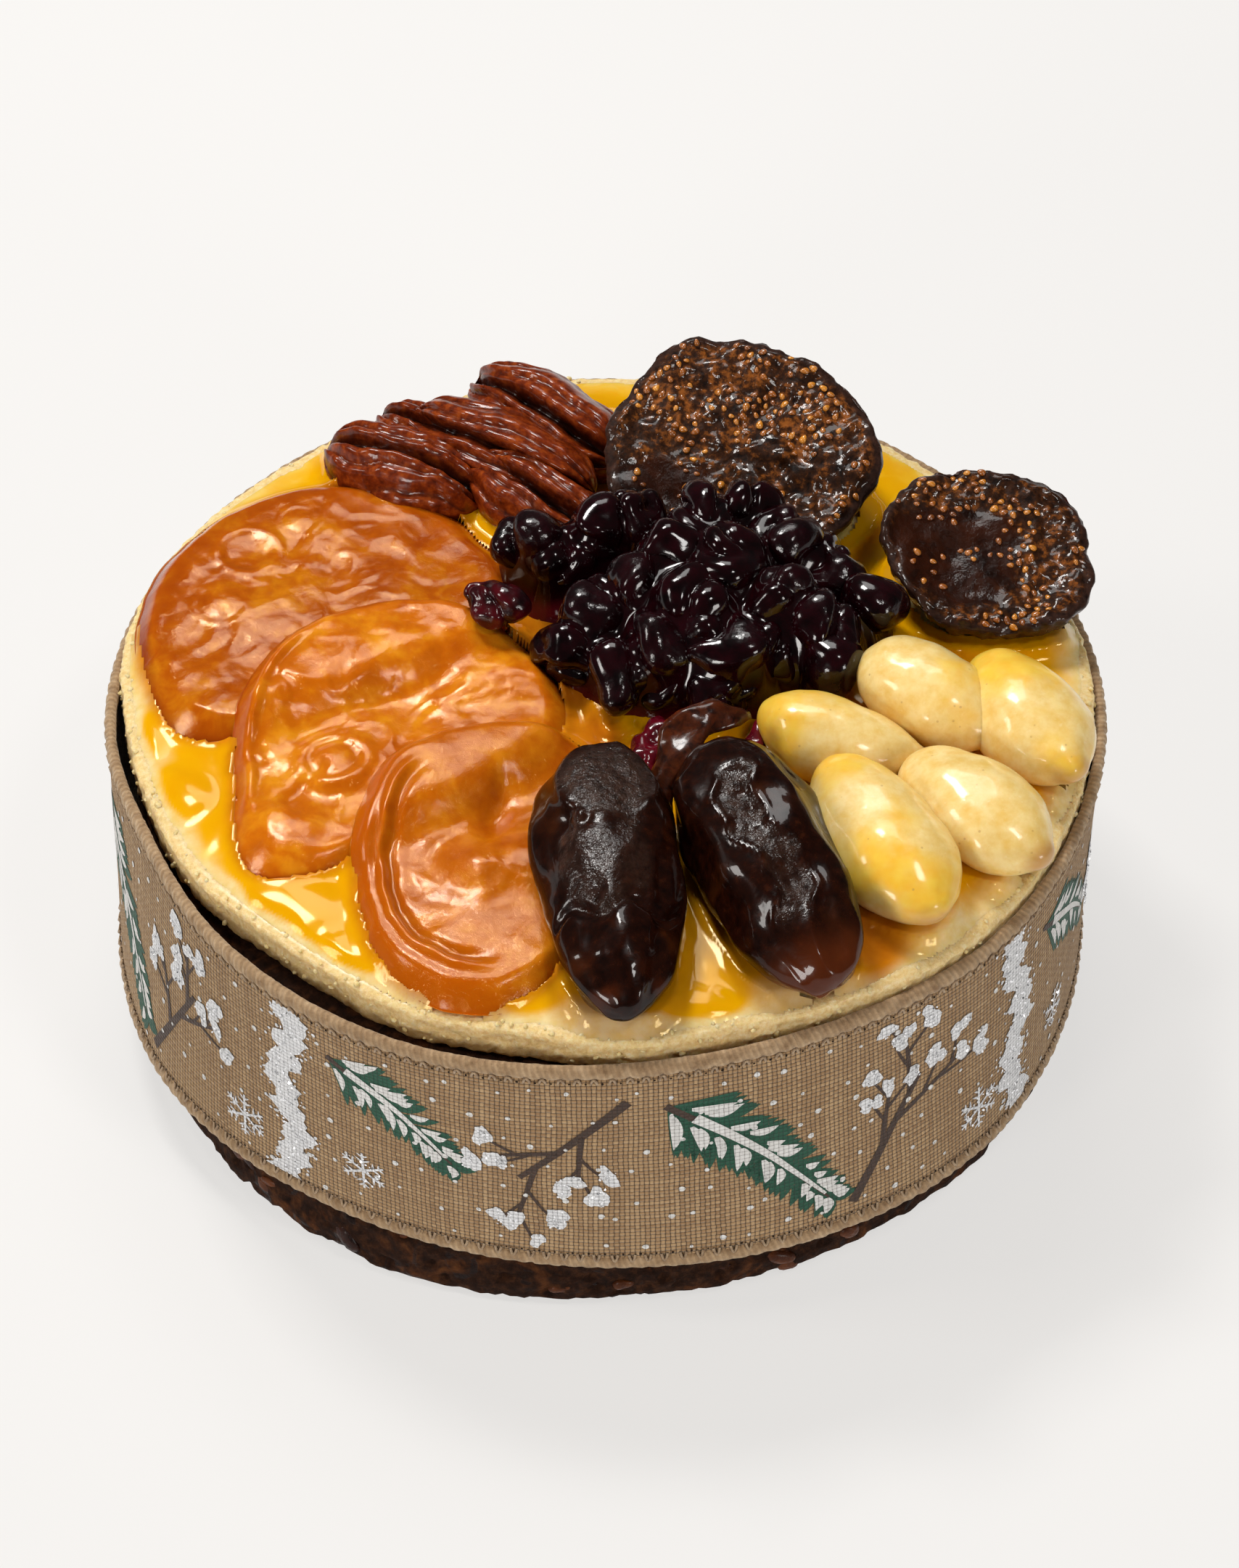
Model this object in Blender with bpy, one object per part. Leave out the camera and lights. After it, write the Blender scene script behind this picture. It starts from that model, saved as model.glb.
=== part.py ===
"""A small round Christmas cake: dark fruit cake under a disc of marzipan, topped with candied
fruit slices, dates, almonds, pecans, dried figs and a heap of cranberries, with a woven ribbon
round its side. Sizes below are millimetres; the scene is in metres, +Z up, cake standing on Z = 0.
"""

import math

import bmesh
import bpy
from mathutils import Matrix, Vector, noise
from mathutils.bvhtree import BVHTree

MM = 0.001
GAP = 0.32  # clear space between two pieces that touch on the real cake
SHIFT_Y = -0.75  # puts the middle of the whole over the origin

# ---------------------------------------------------------------- sizes of the cake itself
CAKE_TOP = 32.4
MARZIPAN_BOTTOM = CAKE_TOP + GAP
MARZIPAN_TOP = 36.5
RIBBON_BOTTOM, RIBBON_TOP = 6.8, 35.2
WEAVE_THICK, HEM_THICK, HEM_TALL = 0.5, 1.25, 1.9

# Radii by direction: (degrees, mm). 0 is +X, -90 is the front.
CAKE_RADIUS = ((-180, 47.4), (-148, 46.9), (-115, 46.9), (-90, 46.0), (-60, 46.3), (-25, 47.4), (20, 47.9), (65, 47.8), (105, 48.4), (145, 47.8))
BASE_SWELL = ((-180, 0.9), (-140, 1.7), (-112, 1.9), (-92, 1.7), (-65, 1.2), (-20, 0.6), (60, 0.6), (130, 0.7))
MARZIPAN_RADIUS = (
    (-180, 47.9), (-165, 46.6), (-150, 46.1), (-138, 45.0), (-126, 44.9), (-114, 45.7), (-100, 45.1), (-88, 46.2),
    (-75, 45.8), (-62, 46.6), (-48, 48.0), (-34, 48.5), (-10, 48.6), (8, 49.1), (30, 48.5), (60, 48.6), (89, 49.6),
    (110, 49.0), (130, 49.0), (148, 49.5), (162, 49.6), (171, 49.1),
)
RIBBON_TOP_RADIUS = ((-180, 49.9), (-160, 48.3), (-140, 48.7), (-112, 49.0), (-78, 47.9), (-60, 48.3), (-42, 49.5), (-20, 49.8), (0, 50.3), (45, 50.2), (90, 50.6), (135, 50.4))
RIBBON_FOOT_RADIUS = ((-180, 50.5), (-155, 51.0), (-140, 50.3), (-122, 49.2), (-92, 49.1), (-66, 50.1), (-43, 50.7), (-25, 49.9), (-5, 49.2), (45, 49.6), (90, 50.3), (135, 50.4))

# ---------------------------------------------------------------- small helpers


def around(table, degrees):
    """Smooth periodic value at a direction, through the (degrees, value) pairs of table."""
    n = len(table)
    degrees = (degrees + 180) % 360 - 180
    i = max(k for k in range(n) if table[k][0] <= degrees + 1e-9)

    def knot(k):
        return table[k % n][0] + 360 * (k // n), table[k % n][1]

    (a0, v0), (a1, v1), (a2, v2), (a3, v3) = (knot(i + k) for k in (-1, 0, 1, 2))
    t = (degrees - a1) / (a2 - a1)
    m1 = (v2 - v0) / (a2 - a0) * (a2 - a1)
    m2 = (v3 - v1) / (a3 - a1) * (a2 - a1)
    return (2 * t**3 - 3 * t**2 + 1) * v1 + (t**3 - 2 * t**2 + t) * m1 + (3 * t**2 - 2 * t**3) * v2 + (t**3 - t**2) * m2


def smooth(a, b, x):
    t = min(1.0, max(0.0, (x - a) / (b - a)))
    return t * t * (3 - 2 * t)


def wobble(x, y, z=0.0, size=6.0, seed=0.0):
    """Soft noise about 0, its lumps `size` mm across."""
    return noise.noise(Vector((x / size + seed * 7.3, y / size - seed * 3.1, z / size + seed)))


def material(name, color, rough, coat=0.0, sheen=0.0, sss=0.0):
    mat = bpy.data.materials.new(name)
    mat.use_nodes = True
    bsdf = mat.node_tree.nodes["Principled BSDF"]
    bsdf.inputs["Base Color"].default_value = (*color, 1)
    bsdf.inputs["Roughness"].default_value = rough
    bsdf.inputs["Coat Weight"].default_value = coat
    bsdf.inputs["Sheen Weight"].default_value = sheen
    bsdf.inputs["Subsurface Weight"].default_value = sss
    bsdf.inputs["Subsurface Scale"].default_value = 0.003
    mat.diffuse_color = (*color, 1)
    return mat


for old in list(bpy.data.objects):
    bpy.data.objects.remove(old, do_unlink=True)

whole = bpy.data.collections.new("christmas_cake")
cutters = bpy.data.collections.new("cutters")
bpy.context.scene.collection.children.link(whole)
bpy.context.scene.collection.children.link(cutters)
cutters.hide_render = True

stand = bpy.data.objects.new("cake_origin", None)
whole.objects.link(stand)

placed = []  # (object, BVHTree in mm) of every topping so far, for what rests on them


def keep(name, bm, mat, hold=True):
    """Turns a bmesh in mm into the named object, in metres, with its own material."""
    bmesh.ops.recalc_face_normals(bm, faces=bm.faces)
    if bm.calc_volume(signed=True) < 0:
        bmesh.ops.reverse_faces(bm, faces=bm.faces)
    bm.normal_update()
    if hold:
        placed.append([name, BVHTree.FromBMesh(bm)])
    mesh = bpy.data.meshes.new(name)
    bm.transform(Matrix.Scale(MM, 4) @ Matrix.Translation((0, SHIFT_Y, 0)))
    bm.to_mesh(mesh)
    bm.free()
    for face in mesh.polygons:
        face.use_smooth = True
    obj = bpy.data.objects.new(name, mesh)
    whole.objects.link(obj)
    obj.parent = stand
    obj.data.materials.append(mat)
    return obj


def support(x, y, reach=0.0):
    """Height of what lies under (x, y): the marzipan, or the highest piece placed so far."""
    spots = [(x, y)]
    if reach:
        spots += [(x + reach * math.cos(k * math.pi / 4), y + reach * math.sin(k * math.pi / 4)) for k in range(8)]
    best = MARZIPAN_TOP
    for sx, sy in spots:
        for _, tree in placed:
            hit = tree.ray_cast(Vector((sx, sy, 90.0)), Vector((0, 0, -1)))[0]
            if hit is not None:
                best = max(best, hit.z)
    return best


def settle(z, soft=0.35):
    """Flattens what would sink into the marzipan, without folding it."""
    floor = MARZIPAN_TOP + GAP
    return z if z > floor + soft else floor + soft * math.exp((z - floor - soft) / soft)


def lathe(name, radius_at, profile, steps, mat, hold=False):
    """A turned body whose radius varies with direction: a spun ring of `profile` rows, each
    (share of the way through radius_at, height), closed by a flat cap at each end."""
    bm = bmesh.new()
    rings = []
    for level, (key, z) in enumerate(profile):
        ring = bmesh.ops.create_circle(bm, cap_ends=False, segments=steps, radius=1.0)["verts"]
        for v in ring:
            a = math.degrees(math.atan2(v.co.y, v.co.x))
            r = radius_at(a, key)
            v.co = Vector((r * math.cos(math.radians(a)), r * math.sin(math.radians(a)), z))
        ring.sort(key=lambda v: math.atan2(v.co.y, v.co.x))
        rings.append(ring)
    for low, high in zip(rings, rings[1:]):
        for k in range(steps):
            j = (k + 1) % steps
            bm.faces.new((low[k], low[j], high[j], high[k]))
    for ring in (rings[0], rings[-1]):
        middle = bm.verts.new(sum((v.co for v in ring), Vector()) / steps)
        for k in range(steps):
            bm.faces.new((ring[k], ring[(k + 1) % steps], middle))
    return keep(name, bm, mat, hold)


# ---------------------------------------------------------------- cake, marzipan, ribbon


def hem_inner(a):
    return around(RIBBON_TOP_RADIUS, a) - HEM_THICK


def cake_radius(a, key):
    inset, swell, lump = key
    r = around(CAKE_RADIUS, a) + around(BASE_SWELL, a) * swell - inset
    x, y = math.cos(math.radians(a)) * 40, math.sin(math.radians(a)) * 40
    return r + lump * wobble(x, y, swell * 5, 7.0, 2)


lathe(
    "cake",
    cake_radius,
    (((1.9, 1, 0.4), 0.0), ((0.5, 1, 0.5), 0.8), ((0.0, 1, 0.6), 2.4), ((0.0, 0.8, 0.5), 5.0), ((0.3, 0.1, 0.1), 8.6), ((0.5, 0, 0.2), 30.8), ((1.6, 0, 0.3), CAKE_TOP)),
    56,
    material("dark_fruit_cake", (0.042, 0.016, 0.008), 0.75),
)


def marzipan_radius(a, key):
    inset, free = key
    r = around(MARZIPAN_RADIUS, a)
    wall = hem_inner(a) - GAP - 0.15
    return (r if free else min(r, wall)) - inset


lathe(
    "marzipan",
    marzipan_radius,
    (((0.5, False), MARZIPAN_BOTTOM), ((0.1, False), MARZIPAN_BOTTOM + 0.5), ((0.0, False), 35.0), ((0.0, True), 35.75), ((0.45, True), 36.3), ((1.2, True), MARZIPAN_TOP)),
    64,
    material("marzipan", (0.86, 0.66, 0.28), 0.42, coat=0.3, sss=0.25),
)


def ribbon():
    """The strip's section, two rolled hems with the thin weave between, led round the cake."""
    section = (  # (mm inside the outermost face, height)
        (0.95 + 0.0, RIBBON_BOTTOM + HEM_TALL), (HEM_THICK, RIBBON_BOTTOM + 0.9), (0.9, RIBBON_BOTTOM), (0.3, RIBBON_BOTTOM), (0.0, RIBBON_BOTTOM + 0.9),
        (0.35, RIBBON_BOTTOM + HEM_TALL), (0.35, RIBBON_TOP - HEM_TALL), (0.0, RIBBON_TOP - 0.9), (0.35, RIBBON_TOP), (0.9, RIBBON_TOP), (HEM_THICK, RIBBON_TOP - 0.9), (0.95, RIBBON_TOP - HEM_TALL),
    )
    steps = 40
    bm = bmesh.new()
    rings = []
    for k in range(steps):
        a = -180 + 360 * k / steps
        row = []
        for inset, z in section:
            t = (z - RIBBON_BOTTOM) / (RIBBON_TOP - RIBBON_BOTTOM)
            r = around(RIBBON_TOP_RADIUS, a) * t + around(RIBBON_FOOT_RADIUS, a) * (1 - t) - inset
            row.append(bm.verts.new((r * math.cos(math.radians(a)), r * math.sin(math.radians(a)), z)))
        rings.append(row)
    for k in range(steps):
        here, there = rings[k], rings[(k + 1) % steps]
        for j in range(len(section)):
            i = (j + 1) % len(section)
            bm.faces.new((here[j], here[i], there[i], there[j]))
    return keep("ribbon", bm, material("linen_ribbon", (0.36, 0.24, 0.14), 0.9, sheen=0.4), False)


ribbon()


# ---------------------------------------------------------------- fruit and nuts


def pillow(name, middle, reach, crown, mat, steps=26, rings=(0.25, 0.5, 0.7, 0.86, 0.97), rim=1.6, drape=3.5, lift=None, clear=1.1):
    """A soft slab that lies on what is under it. reach: its outline's radii at equal turns from
    +X; crown(share out, angle, x, y): its thickness there; rim: thickness at the edge."""
    n = len(reach)
    table = [(-180 + 360 * k / n, reach[(k + n // 2) % n]) for k in range(n)]
    bm = bmesh.new()

    def spot(share, a):
        r = around(table, math.degrees(a)) * share
        return middle[0] + r * math.cos(a), middle[1] + r * math.sin(a)

    def floor_z(x, y):
        return support(x, y, clear) + GAP

    def bed(x, y):
        ring = [support(x + drape * math.cos(k * math.pi / 3), y + drape * math.sin(k * math.pi / 3)) for k in range(6)]
        return (sum(ring) + 2 * support(x, y)) / 8 + GAP

    def top_z(share, a):
        x, y = spot(share, a)
        z = bed(x, y) + crown(share, a, x, y) + (lift(x, y) if lift else 0)
        return max(z, floor_z(x, y) + 0.7)

    turns = [2 * math.pi * k / steps - math.pi for k in range(steps)]
    levels = []
    for share in rings:
        levels.append([bm.verts.new((*spot(share, a), top_z(share, a))) for a in turns])
    levels.append([bm.verts.new((*spot(1.0, a), max(floor_z(*spot(1.0, a)) + 0.35, min(top_z(1.0, a) - rim / 2, floor_z(*spot(1.0, a)) + 60)))) for a in turns])
    for share in (0.9, 0.45):
        row = []
        for k, a in enumerate(turns):
            x, y = spot(share, a)
            low = floor_z(x, y)
            if lift:
                low = max(low, top_z(share, a) - crown(share, a, x, y) - 1.2)
            row.append(bm.verts.new((x, y, min(low, top_z(share, a) - 0.5))))
        levels.append(row)
    for low, high in zip(levels, levels[1:]):
        for k in range(steps):
            j = (k + 1) % steps
            bm.faces.new((low[k], high[k], high[j], low[j]))
    for row, z in ((levels[0], top_z(0.0, 0.0)), (levels[-1], min(v.co.z for v in levels[-1]))):
        x, y = middle
        if row is levels[-1]:
            z = floor_z(x, y)
        hub = bm.verts.new((x, y, z))
        for k in range(steps):
            bm.faces.new((row[k], row[(k + 1) % steps], hub))
    return keep(name, bm, mat)


def slice_crown(rim_thick, body, groove, lip_from, lip_to, lip, seed):
    """Thickness of a candied slice: a rind along part of the edge, a furrow inside it, wrinkled flesh."""

    def crown(share, a, x, y):
        deg = math.degrees(a)
        on = smooth(lip_from - 25, lip_from, deg) * (1 - smooth(lip_to, lip_to + 25, deg))
        if lip_from < -180:
            on = max(on, smooth(lip_from + 335, lip_from + 360, deg))
        edge = smooth(1.02, 0.86, share)
        h = rim_thick + (body - rim_thick) * edge
        h -= groove * on * math.exp(-(((share - 0.74) / 0.07) ** 2))
        h += lip * on * math.exp(-(((share - 0.87) / 0.09) ** 2))
        h += 0.55 * wobble(x, y, 0, 7.0, seed) * smooth(1.0, 0.7, share)
        return h

    return crown


amber = material("candied_slice_amber", (0.62, 0.20, 0.02), 0.25, coat=0.6, sss=0.4)
orange = material("candied_slice_orange", (0.66, 0.24, 0.03), 0.25, coat=0.6, sss=0.4)
deep = material("candied_slice_deep", (0.60, 0.16, 0.02), 0.25, coat=0.6, sss=0.4)

pillow("slice_1", (-28.0, 14.0), (19.8, 18.4, 18.3, 17.8, 17.2, 17.6, 18.8, 21.0, 23.6, 16.2, 15.4, 16.8), slice_crown(1.5, 3.4, 0.7, 100, 200, 0.5, 1), amber)
pillow("slice_2", (-21.0, -4.4), (17.8, 17.6, 17.0, 16.4, 15.6, 15.2, 15.6, 18.2, 24.0, 16.4, 14.6, 15.6), slice_crown(1.5, 3.2, 0.8, -215, -150, 0.5, 2), orange)
pillow("slice_3", (-12.0, -24.5), (11.6, 16.2, 18.4, 18.0, 16.6, 13.8, 12.6, 13.6, 16.4, 18.2, 15.6, 11.4), slice_crown(1.4, 3.4, 1.1, -235, -110, 1.3, 3), deep)


def ball(segments, rings):
    """A unit sphere with its poles on X, the way nuts and dates lie."""
    bm = bmesh.new()
    bmesh.ops.create_uvsphere(bm, u_segments=segments, v_segments=rings, radius=1.0)
    bm.transform(Matrix.Rotation(math.pi / 2, 4, "Y"))
    return bm


def lay(name, bm, shape, at, heading, mat, tilt=0.0, roll=0.0, sink=0.0, rest=True, hold=True):
    """Shapes a ball with shape(point), turns it to its heading, tips it, and sets it down at
    `at` = (x, y) so that it rests, flattened a little where it meets what is below."""
    turn = Matrix.Rotation(math.radians(heading), 3, "Z") @ Matrix.Rotation(math.radians(tilt), 3, "Y") @ Matrix.Rotation(math.radians(roll), 3, "X")
    for v in bm.verts:
        v.co = turn @ Vector(shape(v.co))
    low = min(v.co.z for v in bm.verts)
    drop = (at[2] if len(at) > 2 else MARZIPAN_TOP + GAP - low - sink)
    for v in bm.verts:
        v.co += Vector((at[0], at[1], drop))
        if rest:
            v.co.z = settle(v.co.z)
    return keep(name, bm, mat, hold)


def almond_shape(long, wide, tall, taper, bend, nub=0.5, seed=0):
    def shape(p):
        t = p.x
        ring = math.sqrt(max(1e-9, 1 - t * t))
        want = (1 - abs(t) ** 2.3) ** 0.55 if abs(t) < 1 else 0.0
        want *= 1 - taper * t - 0.08 * smooth(0.45, 1.0, t)
        k = want / ring if ring > 1e-4 else 0.0
        puff = 1 + 0.05 * wobble(p.x, p.y, p.z, 0.9, seed)
        y = p.y * k * wide / 2 * puff + bend * (t * t - 0.3)
        x = t * long / 2 + nub * smooth(0.9, 1.0, t)
        return x, y, p.z * k * tall / 2 * puff

    return shape


ivory = material("almond", (0.84, 0.64, 0.31), 0.35, coat=0.3, sss=0.3)
for name, at, heading, size, taper, bend, tilt in (
    ("almond_1", (32.2, -4.7), -42, (15.8, 10.6, 8.8), 0.10, 0.0, 5),
    ("almond_2", (41.3, -7.6), -62, (18.0, 10.8, 8.4), -0.10, 0.0, 0),
    ("almond_3", (22.9, -10.4), -20, (16.4, 8.8, 7.8), 0.10, 1.2, 4),
    ("almond_4", (35.6, -20.2), -47, (17.8, 10.8, 8.2), -0.06, 0.0, 0),
    ("almond_5", (26.4, -23.9), -65, (21.4, 11.6, 8.8), -0.10, 0.0, 2),
):
    lay(name, ball(14, 9), almond_shape(*size, taper, bend, seed=int(name[-1])), at, heading, ivory, tilt=tilt, sink=0.5)


def date_shape(long, wide, tall, seed):
    def shape(p):
        t = p.x
        ring = math.sqrt(max(1e-9, 1 - t * t))
        want = (1 - abs(t) ** 3.0) ** 0.5 if abs(t) < 1 else 0.0
        want *= 1 - 0.10 * t
        k = want / ring if ring > 1e-4 else 0.0
        a = math.atan2(p.z, p.y)
        crease = 0.05 * math.cos(5 * a + 2.2 * t + seed) + 0.07 * wobble(2.2 * t, p.y, p.z, 0.8, seed)
        return t * long / 2, p.y * k * wide / 2 * (1 + crease), p.z * k * tall / 2 * (1 + crease)

    return shape


date_skin = material("date", (0.020, 0.006, 0.003), 0.22, coat=0.5)
lay("date_1", ball(16, 10), date_shape(32.3, 13.5, 10.4, 1.0), (0.4, -29.8), -86, date_skin, tilt=4, sink=0.8)
lay("date_2", ball(16, 10), date_shape(30.5, 13.6, 10.6, 3.4), (15.6, -28.8), -69, date_skin, tilt=7, sink=0.8)


def pecan_shape(long, wide, tall, seed):
    """Half a pecan: flat beneath, a furrow along its back and ridges beside it."""

    def shape(p):
        t = p.x
        ring = math.sqrt(max(1e-9, 1 - t * t))
        want = (1 - abs(t) ** 2.6) ** 0.5 if abs(t) < 1 else 0.0
        k = want / ring if ring > 1e-4 else 0.0
        y, z = p.y * k, p.z * k
        up = max(0.0, z)
        furrow = 0.42 * math.exp(-((y / 0.17) ** 2)) * smooth(0, 0.4, up)
        ridge = 0.13 * math.cos(11 * abs(y) + 1.5 * math.sin(5 * t + seed)) * smooth(0, 0.4, up)
        z = (z - furrow + ridge * want) * tall if z > 0 else z * tall * 0.28
        return t * long / 2, y * wide / 2 * (1 + 0.05 * math.sin(7 * t + seed)), z

    return shape


nut = material("pecan", (0.20, 0.050, 0.014), 0.3, coat=0.4)
for name, at, heading, size, tilt, roll in (
    ("pecan_1", (-20.2, 32.0), -27, (18.4, 9.6, 4.8), 0, 12),
    ("pecan_2", (-9.8, 33.0), -33, (22.0, 9.4, 5.0), 2, 38),
    ("pecan_3", (-5.0, 38.4), -42, (21.0, 9.6, 5.0), 1, 30),
    ("pecan_4", (-6.0, 25.8), -40, (18.6, 8.6, 5.0), 4, 18),
    ("pecan_5", (-18.0, 37.6), -34, (12.5, 7.0, 3.8), 0, 10),
):
    lay(name, ball(14, 9), pecan_shape(*size, seed=int(name[-1])), at, heading, nut, tilt=tilt, roll=roll, sink=0.3)


def fig_shape(reach, depth, dish, seed):
    """Half a dried fig, cut face up: the face dips inside a raised rim, the skin side is a shallow bowl."""
    n = len(reach)
    table = [(-180 + 360 * k / n, reach[(k + n // 2) % n]) for k in range(n)]

    def shape(p):
        # the ball's poles are turned back to Z here, so that the face has rings
        x, y, z = p.z, p.y, -p.x
        a = math.degrees(math.atan2(y, x))
        r = math.hypot(x, y)
        out = around(table, a)
        share = min(1.0, r**0.9) if r > 0 else 0.0
        if z >= 0:
            face = -dish * (1 - smooth(0.55, 0.95, share)) + 0.35 * wobble(x * 12, y * 12, 0, 4.0, seed)
            h = face + 0.9 * (1 - share**6) ** 0.5
        else:
            h = -depth * (1 - share**2.4) ** 0.6
        c, s = math.cos(math.radians(a)), math.sin(math.radians(a))
        return out * share * c, out * share * s, h

    return shape


fig_flesh = material("dried_fig", (0.055, 0.018, 0.006), 0.3, coat=0.5)


def fig(name, middle, height, reach, depth, dish, pitch, bank, seed):
    bm = ball(24, 10)
    shape = fig_shape(reach, depth, dish, seed)
    turn = Matrix.Rotation(math.radians(pitch), 3, "X") @ Matrix.Rotation(math.radians(bank), 3, "Y")
    for v in bm.verts:
        v.co = turn @ Vector(shape(v.co)) + Vector((*middle, height))
        v.co.z = settle(v.co.z)
    keep(name, bm, fig_flesh)


# reach runs from +X by equal turns
fig("fig_1", (14.6, 27.4), MARZIPAN_TOP + 8.6, (14.2, 13.0, 11.8, 12.8, 14.0, 14.0, 14.2, 14.4, 13.6, 13.6, 13.6, 13.8), 8.4, 0.8, 22, -3, 5)
fig("fig_2", (39.0, 14.4), MARZIPAN_TOP + 6.4, (10.2, 10.8, 10.0, 9.4, 10.4, 11.0, 10.8, 10.2, 10.4, 10.4, 11.2, 11.4), 6.0, 0.8, 14, 4, 9)

# ---------------------------------------------------------------- cranberries

BERRIES = (  # (x, y, height over the marzipan, radius)
    (-6.9, 17.3, 5.8, 4.0), (-3.5, 14.8, 4.6, 3.4), (-0.4, 17.2, 7.0, 3.6), (3.5, 19.0, 8.0, 3.8), (6.6, 11.2, 9.0, 4.4), (10.1, 16.0, 9.5, 3.8),
    (12.8, 9.8, 9.5, 4.2), (18.4, 14.2, 8.0, 3.9), (14.8, 18.4, 8.5, 3.3), (22.4, 12.4, 6.5, 3.6), (26.6, 8.0, 5.5, 3.9), (-0.8, 5.9, 6.0, 4.2),
    (3.5, 7.4, 7.5, 3.8), (9.4, 4.7, 9.0, 4.0), (17.6, 4.7, 8.0, 4.2), (5.5, 1.6, 6.5, 3.9), (11.8, 0.2, 7.0, 4.2), (22.0, 2.6, 6.5, 4.4),
    (22.5, -0.4, 4.2, 3.9), (16.2, 1.0, 5.0, 3.6), (1.6, -1.2, 4.2, 4.1), (11.9, -3.2, 3.8, 3.7), (6.7, -0.9, 3.5, 3.2), (-3.6, 2.2, 4.0, 3.2),
)
BERRY_MIDDLE = (9.6, 8.0)
cranberry = material("cranberry", (0.020, 0.003, 0.005), 0.15, coat=0.6, sss=0.1)


def heap_crown(share, a, x, y):
    """The heap's skin: the highest berry over each spot, with the hollows between them half filled."""
    best, near = 0.0, 0.0
    for bx, by, h, r in BERRIES:
        d2 = (x - bx) ** 2 + (y - by) ** 2
        if d2 < r * r:
            best = max(best, h + math.sqrt(r * r - d2))
        near = max(near, (h + 0.55 * r) * math.exp(-d2 / (2.6 * r * r)))
    return max(best, near, 1.0) + MARZIPAN_TOP


def heap():
    steps, reach = 36, (19.6, 18.2, 12.0, 12.6, 14.6, 22.6, 18.2, 15.6, 14.0, 14.0, 14.0, 17.4)
    table = [(-180 + 30 * k, reach[(k + 6) % 12]) for k in range(12)]
    bm = bmesh.new()
    turns = [2 * math.pi * k / steps - math.pi for k in range(steps)]

    def spot(share, a):
        r = around(table, math.degrees(a)) * share
        return BERRY_MIDDLE[0] + r * math.cos(a), BERRY_MIDDLE[1] + r * math.sin(a)

    levels = []
    for share in (0.14, 0.28, 0.42, 0.55, 0.67, 0.78, 0.88, 0.965):
        row = []
        for a in turns:
            x, y = spot(share, a)
            floor = support(x, y, 2.2) + GAP
            row.append(bm.verts.new((x, y, max(floor + 0.8, heap_crown(share, a, x, y) * 1.0))))
        levels.append(row)
    for share in (1.0, 0.94, 0.86, 0.76, 0.64, 0.5, 0.3):
        row = []
        for a in turns:
            x, y = spot(share, a)
            row.append(bm.verts.new((x, y, support(x, y, 2.2) + GAP + (0.5 if share == 1.0 else 0.0))))
        levels.append(row)
    for low, high in zip(levels, levels[1:]):
        for k in range(steps):
            j = (k + 1) % steps
            bm.faces.new((low[k], high[k], high[j], low[j]))
    x, y = BERRY_MIDDLE
    for row, z in ((levels[0], heap_crown(0, 0, x, y)), (levels[-1], support(x, y, 2.2) + GAP)):
        hub = bm.verts.new((x, y, z))
        for k in range(steps):
            bm.faces.new((row[k], row[(k + 1) % steps], hub))
    keep("berry_heap", bm, cranberry)


heap()


def raisin_shape(long, wide, tall, point, seed):
    def shape(p):
        t = p.x
        k = (1 - 0.45 * smooth(-0.2, -1.0, t) * point) * (1 + 0.14 * wobble(p.x, p.y, p.z, 0.7, seed))
        return t * long / 2 - point * smooth(-0.7, -1.0, t), p.y * wide / 2 * k, p.z * tall / 2 * k

    return shape


lone_z = support(-11.2, 7.2, 2.5)
lay("lone_berry", ball(10, 7), raisin_shape(6.6, 5.2, 4.6, 1.0, 3), (-10.6, 6.2, lone_z + GAP + 2.4), -24, cranberry, tilt=10, roll=0, rest=False)
scrap = material("cranberry_skin", (0.060, 0.002, 0.006), 0.15, coat=0.6, sss=0.2)
lay("berry_scrap_1", ball(10, 7), raisin_shape(8.2, 4.4, 3.0, 0.3, 7), (4.6, -9.0), 74, scrap, tilt=-6, sink=0.2)
lay("berry_scrap_2", ball(10, 7), raisin_shape(9.4, 3.4, 3.6, 0.2, 8), (14.8, -10.6), 80, scrap, tilt=-10, sink=0.2)


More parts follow.
